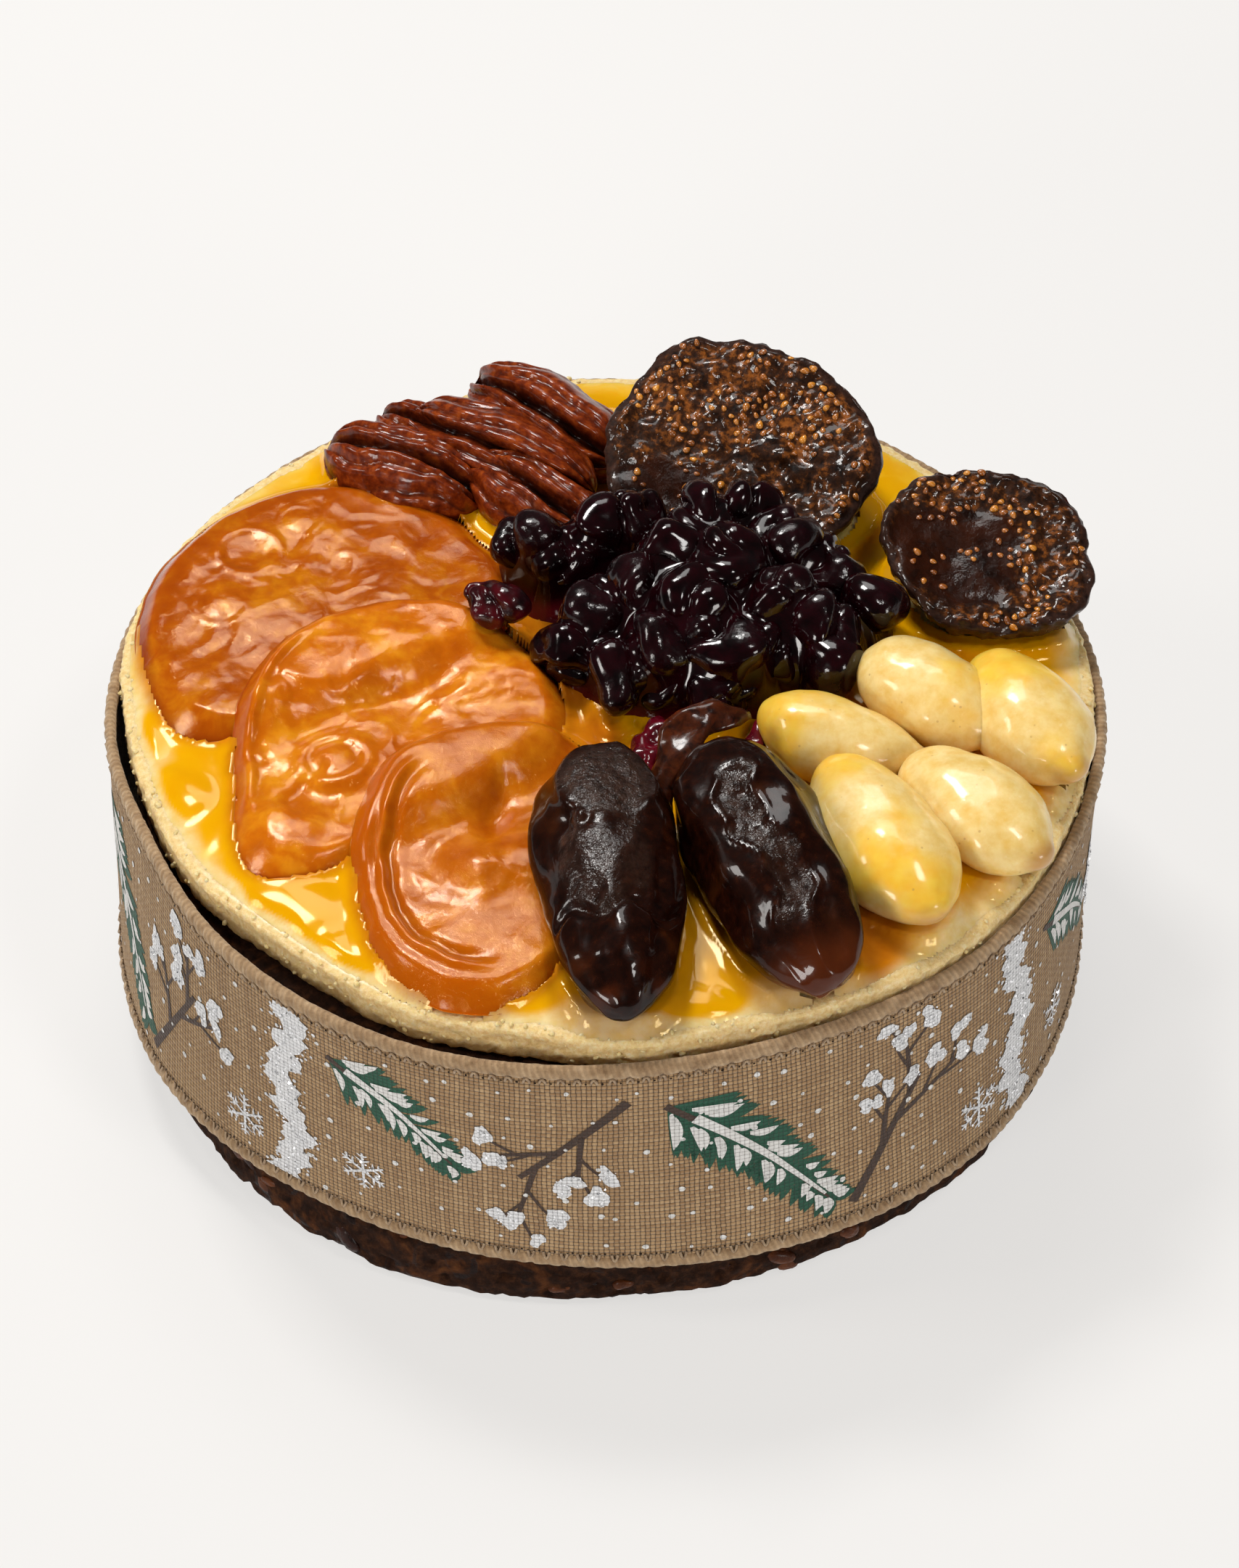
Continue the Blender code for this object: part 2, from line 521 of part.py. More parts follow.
def clear_of_neighbours():
    """Each piece gives way to the ones laid down before it: a Boolean takes away a slightly grown
    copy of every neighbour that it would otherwise press into."""
    order = [name for name, _ in placed]
    for i, name in enumerate(order):
        obj = bpy.data.objects[name]
        for earlier in order[:i]:
            other = bpy.data.objects[earlier]
            grown = bmesh.new()
            grown.from_mesh(other.data)
            grown.normal_update()
            shift = [(v, v.co + v.normal * GAP * 1.1 * MM) for v in grown.verts]
            for v, co in shift:
                v.co = co
            if earlier.startswith(("almond", "pecan", "date", "lone", "berry_scrap")):
                points = [v.co.copy() for v in grown.verts]
                grown.clear()
                for co in points:
                    grown.verts.new(co)
                hull = bmesh.ops.convex_hull(grown, input=grown.verts)
                inside = {g for g in hull["geom_interior"] + hull["geom_unused"] if isinstance(g, bmesh.types.BMVert)}
                bmesh.ops.delete(grown, geom=list(inside), context="VERTS")
                bmesh.ops.recalc_face_normals(grown, faces=grown.faces)
                if grown.calc_volume(signed=True) < 0:
                    bmesh.ops.reverse_faces(grown, faces=grown.faces)
            mine = bmesh.new()
            mine.from_mesh(obj.data)
            if BVHTree.FromBMesh(mine).overlap(BVHTree.FromBMesh(grown)):
                cutter_name = "grown_" + earlier
                cutter = bpy.data.objects.get(cutter_name)
                if cutter is None:
                    mesh = bpy.data.meshes.new(cutter_name)
                    grown.to_mesh(mesh)
                    cutter = bpy.data.objects.new(cutter_name, mesh)
                    cutters.objects.link(cutter)
                    cutter.hide_render = True
                    cutter.display_type = "WIRE"
                cut = obj.modifiers.new("clear_" + earlier, "BOOLEAN")
                cut.operation = "DIFFERENCE"
                cut.solver = "EXACT"
                cut.use_self = True
                cut.object = cutter
            mine.free()
            grown.free()


clear_of_neighbours()
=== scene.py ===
"""Looks of a small round Christmas cake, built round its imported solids. Lengths are millimetres in
the same frame as the solids until build() turns them into metres."""

import math

import bpy
import numpy as np
from mathutils import Matrix, Vector
from mathutils.bvhtree import BVHTree


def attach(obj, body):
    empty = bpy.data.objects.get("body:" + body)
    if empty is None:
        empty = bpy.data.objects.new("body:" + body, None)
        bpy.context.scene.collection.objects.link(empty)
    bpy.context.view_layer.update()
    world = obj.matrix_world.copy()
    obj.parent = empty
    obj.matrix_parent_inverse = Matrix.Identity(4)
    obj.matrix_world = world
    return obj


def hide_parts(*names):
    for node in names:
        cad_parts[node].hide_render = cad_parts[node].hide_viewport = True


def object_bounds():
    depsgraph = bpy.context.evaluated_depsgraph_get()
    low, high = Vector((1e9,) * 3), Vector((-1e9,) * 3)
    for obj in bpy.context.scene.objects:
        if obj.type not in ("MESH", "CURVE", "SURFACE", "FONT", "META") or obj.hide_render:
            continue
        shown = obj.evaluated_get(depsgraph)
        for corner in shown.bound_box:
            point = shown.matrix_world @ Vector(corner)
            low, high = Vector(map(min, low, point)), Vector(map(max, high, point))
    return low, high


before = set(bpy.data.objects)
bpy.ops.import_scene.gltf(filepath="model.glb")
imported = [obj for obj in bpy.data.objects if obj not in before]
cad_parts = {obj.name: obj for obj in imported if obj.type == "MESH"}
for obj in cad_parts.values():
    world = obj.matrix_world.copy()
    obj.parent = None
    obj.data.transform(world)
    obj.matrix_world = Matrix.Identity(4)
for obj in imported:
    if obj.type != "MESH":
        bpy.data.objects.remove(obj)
cad_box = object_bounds()

MM = 0.001
SHIFT = np.array((0.0, -0.75, 0.0))
GAP = 0.32
CAKE_TOP = 32.4
MARZIPAN_BOTTOM = CAKE_TOP + GAP
MARZIPAN_TOP = 36.5
RIBBON_BOTTOM, RIBBON_TOP = 6.8, 35.2
HEM_THICK, HEM_TALL = 1.25, 1.9

CAKE_RADIUS = ((-180, 47.4), (-148, 46.9), (-115, 46.9), (-90, 46.0), (-60, 46.3), (-25, 47.4), (20, 47.9), (65, 47.8), (105, 48.4), (145, 47.8))
BASE_SWELL = ((-180, 0.9), (-140, 1.7), (-112, 1.9), (-92, 1.7), (-65, 1.2), (-20, 0.6), (60, 0.6), (130, 0.7))
MARZIPAN_RADIUS = (
    (-180, 47.9), (-165, 46.6), (-150, 46.1), (-138, 45.0), (-126, 44.9), (-114, 45.7), (-100, 45.1), (-88, 46.2),
    (-75, 45.8), (-62, 46.6), (-48, 48.0), (-34, 48.5), (-10, 48.6), (8, 49.1), (30, 48.5), (60, 48.6), (89, 49.6),
    (110, 49.0), (130, 49.0), (148, 49.5), (162, 49.6), (171, 49.1),
)
RIBBON_TOP_RADIUS = ((-180, 49.9), (-160, 48.3), (-140, 48.7), (-112, 49.0), (-78, 47.9), (-60, 48.3), (-42, 49.5), (-20, 49.8), (0, 50.3), (45, 50.2), (90, 50.6), (135, 50.4))
RIBBON_FOOT_RADIUS = ((-180, 50.5), (-155, 51.0), (-140, 50.3), (-122, 49.2), (-92, 49.1), (-66, 50.1), (-43, 50.7), (-25, 49.9), (-5, 49.2), (45, 49.6), (90, 50.3), (135, 50.4))

# ---------------------------------------------------------------- noise and small maths


def around(table, degrees):
    """Smooth periodic value at each direction, through the (degrees, value) pairs of table."""
    a = np.array([t[0] for t in table], float)
    v = np.array([t[1] for t in table], float)
    n = len(a)
    degrees = (np.asarray(degrees, float) + 180) % 360 - 180
    i = np.clip(np.searchsorted(a, degrees + 1e-9, side="right") - 1, 0, n - 1)

    def knot(k):
        return a[k % n] + 360 * (k // n), v[k % n]

    (a0, v0), (a1, v1), (a2, v2), (a3, v3) = (knot(i + k) for k in (-1, 0, 1, 2))
    t = (degrees - a1) / (a2 - a1)
    m1 = (v2 - v0) / (a2 - a0) * (a2 - a1)
    m2 = (v3 - v1) / (a3 - a1) * (a2 - a1)
    return (2 * t**3 - 3 * t**2 + 1) * v1 + (t**3 - 2 * t**2 + t) * m1 + (3 * t**2 - 2 * t**3) * v2 + (t**3 - t**2) * m2


def turns(reach):
    """The table of radii at equal turns from +X, in the form that around() reads."""
    n = len(reach)
    return tuple((-180 + 360 * k / n, reach[(k + n // 2) % n]) for k in range(n))


def step(a, b, x):
    t = np.clip((np.asarray(x, float) - a) / (b - a), 0, 1)
    return t * t * (3 - 2 * t)


def hashed(x, y, z, seed):
    n = (x * np.uint64(73856093)) ^ (y * np.uint64(19349663)) ^ (z * np.uint64(83492791)) ^ np.uint64(int(seed * 2654435761) & 0xFFFFFFFF)
    n = ((n ^ (n >> np.uint64(13))) * np.uint64(0x5BD1E995)) & np.uint64(0xFFFFFFFFFF)
    n = ((n ^ (n >> np.uint64(15))) * np.uint64(0x27D4EB2F)) & np.uint64(0xFFFFFFFFFF)
    return (n ^ (n >> np.uint64(17))) & np.uint64(0x3FFFFFFF)


def lumps(p, size, seed=0, octaves=1, fade=0.5):
    """Soft gradient noise about 0, roughly -1 to 1, its lumps `size` mm across."""
    p = np.asarray(p, float)
    out, gain = np.zeros(len(p)), 1.0
    for octave in range(octaves):
        q = p / (size * 0.5**octave) + 900.0 + seed * 13.7 + octave * 5.3
        base = np.floor(q)
        f = q - base
        b = base.astype(np.int64).astype(np.uint64)
        w = f * f * f * (f * (f * 6 - 15) + 10)
        total = np.zeros(len(p))
        for dx in (0, 1):
            for dy in (0, 1):
                for dz in (0, 1):
                    h = hashed(b[:, 0] + np.uint64(dx), b[:, 1] + np.uint64(dy), b[:, 2] + np.uint64(dz), seed + octave)
                    gx = (h & np.uint64(1023)).astype(float) / 511.5 - 1
                    gy = ((h >> np.uint64(10)) & np.uint64(1023)).astype(float) / 511.5 - 1
                    gz = ((h >> np.uint64(20)) & np.uint64(1023)).astype(float) / 511.5 - 1
                    dot = gx * (f[:, 0] - dx) + gy * (f[:, 1] - dy) + gz * (f[:, 2] - dz)
                    share = (w[:, 0] if dx else 1 - w[:, 0]) * (w[:, 1] if dy else 1 - w[:, 1]) * (w[:, 2] if dz else 1 - w[:, 2])
                    total += share * dot
        out += gain * total * 1.7
        gain *= fade
    return out


def folds(p, size, seed=0, octaves=1, fade=0.5):
    """Ridged noise, 0 to 1 with thin crests at 1."""
    p = np.asarray(p, float)
    out, gain, total = np.zeros(len(p)), 1.0, 0.0
    for octave in range(octaves):
        out += gain * (1 - np.abs(lumps(p, size * 0.5**octave, seed + 31 * octave))).clip(0, 1) ** 2
        total += gain
        gain *= fade
    return out / total


def cells(p, size, seed=0):
    """(distance to the nearest scattered point, to the second nearest, the nearest's number), in cells."""
    q = np.asarray(p, float) / size + 700.0 + seed * 3.3
    base = np.floor(q)
    b = base.astype(np.int64).astype(np.uint64)
    f = q - base
    first, second = np.full(len(q), 9.0), np.full(len(q), 9.0)
    who = np.zeros(len(q), np.uint64)
    for dx in (-1, 0, 1):
        for dy in (-1, 0, 1):
            for dz in (-1, 0, 1):
                h = hashed((b[:, 0].astype(np.int64) + dx).astype(np.uint64), (b[:, 1].astype(np.int64) + dy).astype(np.uint64), (b[:, 2].astype(np.int64) + dz).astype(np.uint64), seed)
                at = np.stack([(h & np.uint64(1023)).astype(float), ((h >> np.uint64(10)) & np.uint64(1023)).astype(float), ((h >> np.uint64(20)) & np.uint64(1023)).astype(float)], 1) / 1023
                d = np.linalg.norm(at + (dx, dy, dz) - f, axis=1)
                near = d < first
                second = np.where(near, first, np.minimum(second, d))
                who = np.where(near, h, who)
                first = np.where(near, d, first)
    return first, second, (who & np.uint64(1023)).astype(float) / 1023


# ---------------------------------------------------------------- meshes


def sweep(rows, cols, wrap=True, offset=0):
    """The quads between `rows` rings of `cols` points."""
    i = np.arange(rows - 1)[:, None] * cols
    j = np.arange(cols if wrap else cols - 1)[None, :]
    k = (j + 1) % cols
    return np.stack([i + j, i + k, i + cols + k, i + cols + j], -1).reshape(-1, 4) + offset


def fan(ring, hub, flip=False):
    ring = np.asarray(ring)
    nxt = np.roll(ring, -1)
    tri = np.stack([ring, nxt, np.full(len(ring), hub)], 1)
    return tri[:, ::-1] if flip else tri


def normals_of(co, quads, tris):
    n = np.zeros_like(co)
    for f in (quads, tris):
        if f is None or not len(f):
            continue
        if f.shape[1] == 4:
            face = np.cross(co[f[:, 2]] - co[f[:, 0]], co[f[:, 3]] - co[f[:, 1]])
        else:
            face = np.cross(co[f[:, 1]] - co[f[:, 0]], co[f[:, 2]] - co[f[:, 0]])
        for k in range(f.shape[1]):
            for axis in range(3):
                n[:, axis] += np.bincount(f[:, k], weights=face[:, axis], minlength=len(co))
    return n / np.maximum(np.linalg.norm(n, axis=1, keepdims=True), 1e-12)


def volume_of(co, quads, tris):
    total = 0.0
    if quads is not None and len(quads):
        for pick in ((0, 1, 2), (0, 2, 3)):
            a, b, c = (co[quads[:, k]] for k in pick)
            total += (a * np.cross(b, c)).sum()
    if tris is not None and len(tris):
        a, b, c = (co[tris[:, k]] for k in range(3))
        total += (a * np.cross(b, c)).sum()
    return total / 6


def outward(co, quads, tris):
    if volume_of(co - co.mean(0), quads, tris) < 0:
        quads = quads[:, ::-1] if quads is not None and len(quads) else quads
        tris = tris[:, ::-1] if tris is not None and len(tris) else tris
    return quads, tris


def build(name, co, quads=None, tris=None, mat=None, slot=None, replaces=(), marks=None, vectors=None):
    """The named mesh object, from points in mm; marks and vectors are values at its points."""
    co = np.asarray(co, float)
    quads = np.zeros((0, 4), int) if quads is None else np.asarray(quads, int).reshape(-1, 4)
    tris = np.zeros((0, 3), int) if tris is None else np.asarray(tris, int).reshape(-1, 3)
    mesh = bpy.data.meshes.new(name)
    mesh.vertices.add(len(co))
    mesh.vertices.foreach_set("co", ((co + SHIFT) * MM).astype(np.float32).ravel())
    loops = np.concatenate([quads.ravel(), tris.ravel()]).astype(np.int32)
    mesh.loops.add(len(loops))
    mesh.loops.foreach_set("vertex_index", loops)
    mesh.polygons.add(len(quads) + len(tris))
    starts = np.concatenate([np.arange(len(quads)) * 4, len(quads) * 4 + np.arange(len(tris)) * 3]).astype(np.int32)
    mesh.polygons.foreach_set("loop_start", starts)
    for key, values in (marks or {}).items():
        layer = mesh.attributes.new(key, "FLOAT", "POINT")
        layer.data.foreach_set("value", np.asarray(values, np.float32))
    for key, values in (vectors or {}).items():
        layer = mesh.attributes.new(key, "FLOAT_VECTOR", "POINT")
        layer.data.foreach_set("vector", np.asarray(values, np.float32).ravel())
    mesh.update(calc_edges=True)
    mesh.validate()
    mesh.polygons.foreach_set("use_smooth", np.ones(len(mesh.polygons), bool))
    obj = bpy.data.objects.new(name, mesh)
    bpy.context.scene.collection.objects.link(obj)
    if mat is not None:
        mesh.materials.append(mat)
    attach(obj, "root")
    if replaces:
        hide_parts(*replaces)
    return obj


def tree_of(co, quads, tris=None):
    faces = [tuple(q) for q in quads.tolist()] + ([] if tris is None else [tuple(t) for t in tris.tolist()])
    return BVHTree.FromPolygons([tuple(c) for c in co.tolist()], faces)


class Lot:
    """Several meshes gathered into one."""

    def __init__(self):
        self.co, self.quads, self.tris, self.marks, self.vectors, self.n = [], [], [], {}, {}, 0

    def add(self, co, quads=None, tris=None, marks=None, vectors=None):
        self.co.append(co)
        if quads is not None and len(quads):
            self.quads.append(np.asarray(quads) + self.n)
        if tris is not None and len(tris):
            self.tris.append(np.asarray(tris) + self.n)
        for key, values in (marks or {}).items():
            self.marks.setdefault(key, []).append(np.broadcast_to(np.asarray(values, float), (len(co),)))
        for key, values in (vectors or {}).items():
            self.vectors.setdefault(key, []).append(np.asarray(values, float))
        self.n += len(co)

    def arrays(self):
        return (
            np.concatenate(self.co),
            np.concatenate(self.quads) if self.quads else np.zeros((0, 4), int),
            np.concatenate(self.tris) if self.tris else np.zeros((0, 3), int),
        )

    def build(self, name, mat, slot, replaces=()):
        co, quads, tris = self.arrays()
        return build(name, co, quads, tris, mat, slot, replaces, {k: np.concatenate(v) for k, v in self.marks.items()}, {k: np.concatenate(v) for k, v in self.vectors.items()})


def ball(steps, rows):
    """A unit sphere with its poles on X: points, quads, triangles."""
    th = np.linspace(0, math.pi, rows + 2)[1:-1]
    ph = np.linspace(0, 2 * math.pi, steps, endpoint=False)
    t, p = np.meshgrid(th, ph, indexing="ij")
    co = np.stack([-np.cos(t), np.sin(t) * np.cos(p), np.sin(t) * np.sin(p)], -1).reshape(-1, 3)
    quads = sweep(rows, steps)
    co = np.concatenate([co, [(-1, 0, 0), (1, 0, 0)]])
    last = (rows - 1) * steps + np.arange(steps)
    tris = np.concatenate([fan(np.arange(steps), len(co) - 2, True), fan(last, len(co) - 1)])
    quads, tris = outward(co, quads, tris)
    return co, quads, tris


def turned(heading, tilt=0.0, roll=0.0):
    m = Matrix.Rotation(math.radians(heading), 3, "Z") @ Matrix.Rotation(math.radians(tilt), 3, "Y") @ Matrix.Rotation(math.radians(roll), 3, "X")
    return np.array(m)


def settle(z, soft=0.35, floor=MARZIPAN_TOP):
    return np.where(z > floor + soft, z, floor + soft * np.exp(np.minimum((z - floor - soft) / soft, 0)))


# ---------------------------------------------------------------- shaders


class Shade:
    """A material whose nodes are added by short calls; sizes in mm."""

    def __init__(self, name):
        self.mat = bpy.data.materials.new(name)
        self.mat.use_nodes = True
        self.tree = self.mat.node_tree
        self.bsdf = self.tree.nodes["Principled BSDF"]
        self.space = self.node("ShaderNodeTexCoord").outputs["Object"]

    def node(self, kind, inputs=None, **settings):
        n = self.tree.nodes.new(kind)
        for key, value in settings.items():
            setattr(n, key, value)
        for key, value in (inputs or {}).items():
            self.put(n.inputs[key], value)
        return n

    def put(self, socket, value):
        if isinstance(value, bpy.types.NodeSocket):
            self.tree.links.new(value, socket)
        elif socket.type == "RGBA" and isinstance(value, (tuple, list)) and len(value) == 3:
            socket.default_value = (*value, 1)
        else:
            socket.default_value = value

    def set(self, **values):
        for key, value in values.items():
            self.put(self.bsdf.inputs[key.replace("_", " ")], value)
        return self

    def noise(self, size, detail=3.0, rough=0.55, warp=0.0, space=None):
        return self.node("ShaderNodeTexNoise", {"Vector": space or self.space, "Scale": 1000.0 / size, "Detail": detail, "Roughness": rough, "Distortion": warp}).outputs["Fac"]

    def cells(self, size, feature="F1", space=None, out="Distance", random=1.0):
        return self.node("ShaderNodeTexVoronoi", {"Vector": space or self.space, "Scale": 1000.0 / size, "Randomness": random}, feature=feature).outputs[out]

    def math(self, op, a, b=0.0, clamp=False):
        n = self.node("ShaderNodeMath", operation=op, use_clamp=clamp)
        self.put(n.inputs[0], a)
        self.put(n.inputs[1], b)
        return n.outputs[0]

    def span(self, value, a, b, c=0.0, d=1.0):
        return self.node("ShaderNodeMapRange", {"Value": value, "From Min": a, "From Max": b, "To Min": c, "To Max": d}, interpolation_type="SMOOTHSTEP").outputs["Result"]

    def ramp(self, fac, *stops):
        n = self.node("ShaderNodeValToRGB", {"Fac": fac})
        e = n.color_ramp.elements
        while len(e) < len(stops):
            e.new(0.5)
        for k, (at, color) in enumerate(stops):
            e[k].position = at
            e[k].color = (*color, 1) if isinstance(color, tuple) else (color, color, color, 1)
        return n.outputs["Color"]

    def mix(self, fac, a, b, blend="MIX"):
        n = self.node("ShaderNodeMix", data_type="RGBA", blend_type=blend)
        self.put(n.inputs[0], fac)
        self.put(n.inputs[6], a)
        self.put(n.inputs[7], b)
        return n.outputs[2]

    def bump(self, height, mm, strength=1.0, normal=None):
        inputs = {"Height": height, "Distance": mm * MM, "Strength": strength}
        if normal is not None:
            inputs["Normal"] = normal
        return self.node("ShaderNodeBump", inputs).outputs["Normal"]

    def mark(self, key, out="Fac"):
        return self.node("ShaderNodeAttribute", attribute_name=key).outputs[out]

    def pulled(self, x, y, z):
        """The object's own coordinates, stretched along each axis."""
        return self.node("ShaderNodeMapping", {"Vector": self.space, "Scale": (x, y, z)}).outputs["Vector"]


# ---------------------------------------------------------------- materials


def crumb_material():
    s = Shade("fruit_cake_crumb")
    fine, coarse, spots = s.noise(0.9, 5, 0.65), s.noise(5.5, 3, 0.6, 0.8), s.noise(2.6, 2, 0.5, 1.2)
    color = s.ramp(fine, (0.28, (0.008, 0.003, 0.0015)), (0.5, (0.026, 0.009, 0.004)), (0.72, (0.070, 0.026, 0.010)))
    color = s.mix(s.span(coarse, 0.52, 0.66, 0, 0.75), color, s.ramp(fine, (0.3, (0.045, 0.012, 0.004)), (0.7, (0.15, 0.050, 0.013))))
    color = s.mix(s.span(spots, 0.64, 0.72, 0, 0.9), color, (0.010, 0.003, 0.002))
    rough = s.span(spots, 0.60, 0.72, 0.82, 0.30)
    normal = s.bump(s.noise(0.45, 6, 0.7), 0.35, 0.9, s.bump(s.cells(1.3), 0.5, 0.5))
    s.set(Base_Color=color, Roughness=rough, Normal=normal)
    s.set(Specular_IOR_Level=0.12)
    return s.mat


def crumb_fruit_material():
    s = Shade("fruit_in_crumb")
    fleck = s.mark("kind")
    tone = s.noise(1.4, 3)
    dark = s.ramp(tone, (0.35, (0.010, 0.003, 0.002)), (0.7, (0.045, 0.011, 0.005)))
    rust = s.ramp(tone, (0.35, (0.050, 0.012, 0.003)), (0.7, (0.13, 0.036, 0.008)))
    s.set(Base_Color=s.mix(s.span(fleck, 0.45, 0.55), dark, rust), Roughness=s.span(s.noise(0.6), 0.3, 0.7, 0.28, 0.6), Normal=s.bump(s.noise(0.7, 4, 0.6), 0.3, 0.8))
    s.set(Coat_Weight=0.12, Coat_Roughness=0.2, Specular_IOR_Level=0.12)
    return s.mat


def marzipan_material():
    s = Shade("marzipan_paste")
    cut, grain = s.mark("cut"), s.noise(0.55, 5, 0.7)
    blotch = s.noise(9.0, 3, 0.5, 0.5)
    top = s.ramp(blotch, (0.35, (0.80, 0.52, 0.12)), (0.65, (0.87, 0.65, 0.22)))
    side = s.ramp(grain, (0.28, (0.66, 0.42, 0.15)), (0.48, (0.84, 0.60, 0.26)), (0.7, (0.93, 0.76, 0.45)))
    # painted shade: the cut side darkens towards its foot, down in the gap behind the ribbon
    low = s.mark("low")
    side = s.mix(s.math("MULTIPLY", low, 0.55), side, (0.42, 0.22, 0.06))
    color = s.mix(cut, top, side)
    normal = s.bump(grain, 0.30, 0.55, s.bump(s.cells(0.9), 0.25, 0.35))
    s.set(Base_Color=color, Roughness=s.span(s.math("ADD", s.math("MULTIPLY", cut, 0.5), s.noise(3.0)), 0.3, 1.0, 0.34, 0.62), Normal=normal)
    s.set(Subsurface_Weight=0.35, Subsurface_Radius=(1.0, 0.62, 0.25), Subsurface_Scale=0.0016, Coat_Weight=0.25, Coat_Roughness=0.22)
    return s.mat


def glaze_material():
    s = Shade("apricot_glaze")
    deep, fruit, dark = s.mark("deep"), s.mark("fruit"), s.mark("dark")
    mottle = s.noise(3.5, 3, 0.5, 0.6)
    pool = s.ramp(s.math("ADD", deep, s.span(mottle, 0.3, 0.7, -0.12, 0.12)), (0.0, (0.85, 0.55, 0.10)), (0.10, (0.83, 0.46, 0.015)), (0.24, (0.80, 0.40, 0.001)), (0.8, (0.76, 0.35, 0.0005)))
    amber = s.ramp(mottle, (0.35, (0.44, 0.105, 0.003)), (0.65, (0.62, 0.19, 0.006)))
    pool = s.mix(s.mark("pale"), pool, s.ramp(s.noise(1.6, 4, 0.6), (0.35, (0.79, 0.56, 0.20)), (0.65, (0.86, 0.69, 0.37))))
    color = s.mix(fruit, pool, amber)
    # painted shade: darker glaze round the dates' feet
    color = s.mix(dark, color, (0.30, 0.085, 0.006))
    normal = s.bump(s.noise(4.0, 2, 0.45), 0.08, 0.3)
    s.set(Base_Color=color, Roughness=0.12, Normal=normal, Subsurface_Weight=0.30, Subsurface_Radius=(1.0, 0.55, 0.10), Subsurface_Scale=0.0014)
    s.set(Coat_Weight=0.14, Coat_Roughness=0.06, IOR=1.45, Specular_IOR_Level=0.34, Specular_Tint=(1.0, 0.74, 0.26, 1.0))
    return s.mat


def slice_material(name, light, middle, deep, edge, crinkle):
    """Candied fruit: see-through flesh under a wet glaze, its rind deeper; the furrow beside the rind carries painted
    shade.
    """
    s = Shade(name)
    rim, low = s.mark("rim"), s.mark("low")
    wide, mid = s.noise(6.0, 3, 0.5, 0.8), s.noise(1.9, 3, 0.55, 0.5)
    tone = s.math("ADD", s.math("MULTIPLY", wide, 0.65), s.math("MULTIPLY", mid, 0.35))
    color = s.ramp(tone, (0.34, deep), (0.50, middle), (0.66, light))
    # painted shade: the deep colour laid in the furrow beside the rind, and a darker band along the outer edge
    color = s.mix(s.math("MULTIPLY", low, 0.65), color, deep)
    color = s.mix(rim, color, edge)
    lines = s.noise(0.42, 2, 0.5, 2.6)
    fine = s.math("MULTIPLY", s.math("ABSOLUTE", s.math("SUBTRACT", lines, 0.5)), 2.0)
    normal = s.bump(fine, 0.04, crinkle, s.bump(s.noise(1.7, 2, 0.5, 0.6), 0.14, 0.5))
    s.set(Base_Color=color, Roughness=0.09, Normal=normal, Subsurface_Weight=0.35, Subsurface_Radius=(1.0, 0.35, 0.05), Subsurface_Scale=0.0016)
    s.set(Coat_Weight=0.24, Coat_Roughness=0.04, IOR=1.45, Specular_IOR_Level=0.42, Specular_Tint=(1.0, 0.64, 0.22, 1.0))
    s.put(s.bsdf.inputs["Coat Normal"], s.bump(fine, 0.016, crinkle * 0.8, s.bump(s.noise(2.4, 2, 0.5, 0.4), 0.13, 0.5)))
    return s.mat


def almond_material():
    s = Shade("blanched_almond")
    glaze, grain = s.mark("glaze"), s.noise(1.6, 4, 0.6)
    streak = s.noise(0.55, 3, 0.6, 0.4)
    color = s.ramp(grain, (0.30, (0.80, 0.52, 0.13)), (0.62, (0.88, 0.67, 0.28)))
    color = s.mix(s.span(streak, 0.60, 0.75, 0, 0.3), color, (0.93, 0.78, 0.46))
    # painted shade: darker and browner at the foot of the nut, where it sits on the marzipan
    color = s.mix(s.mark("low"), color, (0.60, 0.33, 0.08))
    color = s.mix(s.mark("nub"), color, (0.50, 0.25, 0.07))
    yellow = s.ramp(s.noise(2.2, 2), (0.35, (0.90, 0.48, 0.012)), (0.65, (0.93, 0.60, 0.05)))
    color = s.mix(s.span(s.math("ADD", glaze, s.span(s.noise(3.4, 2, 0.5, 0.6), 0.3, 0.7, -0.08, 0.08)), 0.34, 0.84, 0, 0.88), color, yellow)
    pores = s.span(s.cells(1.5), 0.05, 0.11, 1.0, 0.0)
    color = s.mix(s.math("MULTIPLY", pores, 0.5), color, (0.50, 0.28, 0.09))
    normal = s.bump(s.noise(0.5, 3), 0.035, 0.5, s.bump(s.noise(3.2, 2), 0.25, 0.35))
    s.set(Base_Color=color, Roughness=0.34, Normal=normal, Subsurface_Weight=0.28, Subsurface_Radius=(1.0, 0.62, 0.28), Subsurface_Scale=0.0015)
    s.set(Coat_Weight=0.5, Coat_Roughness=0.12, IOR=1.45, Specular_IOR_Level=0.3)
    s.put(s.bsdf.inputs["Coat Normal"], s.bump(s.noise(2.6, 2), 0.10, 0.5))
    return s.mat


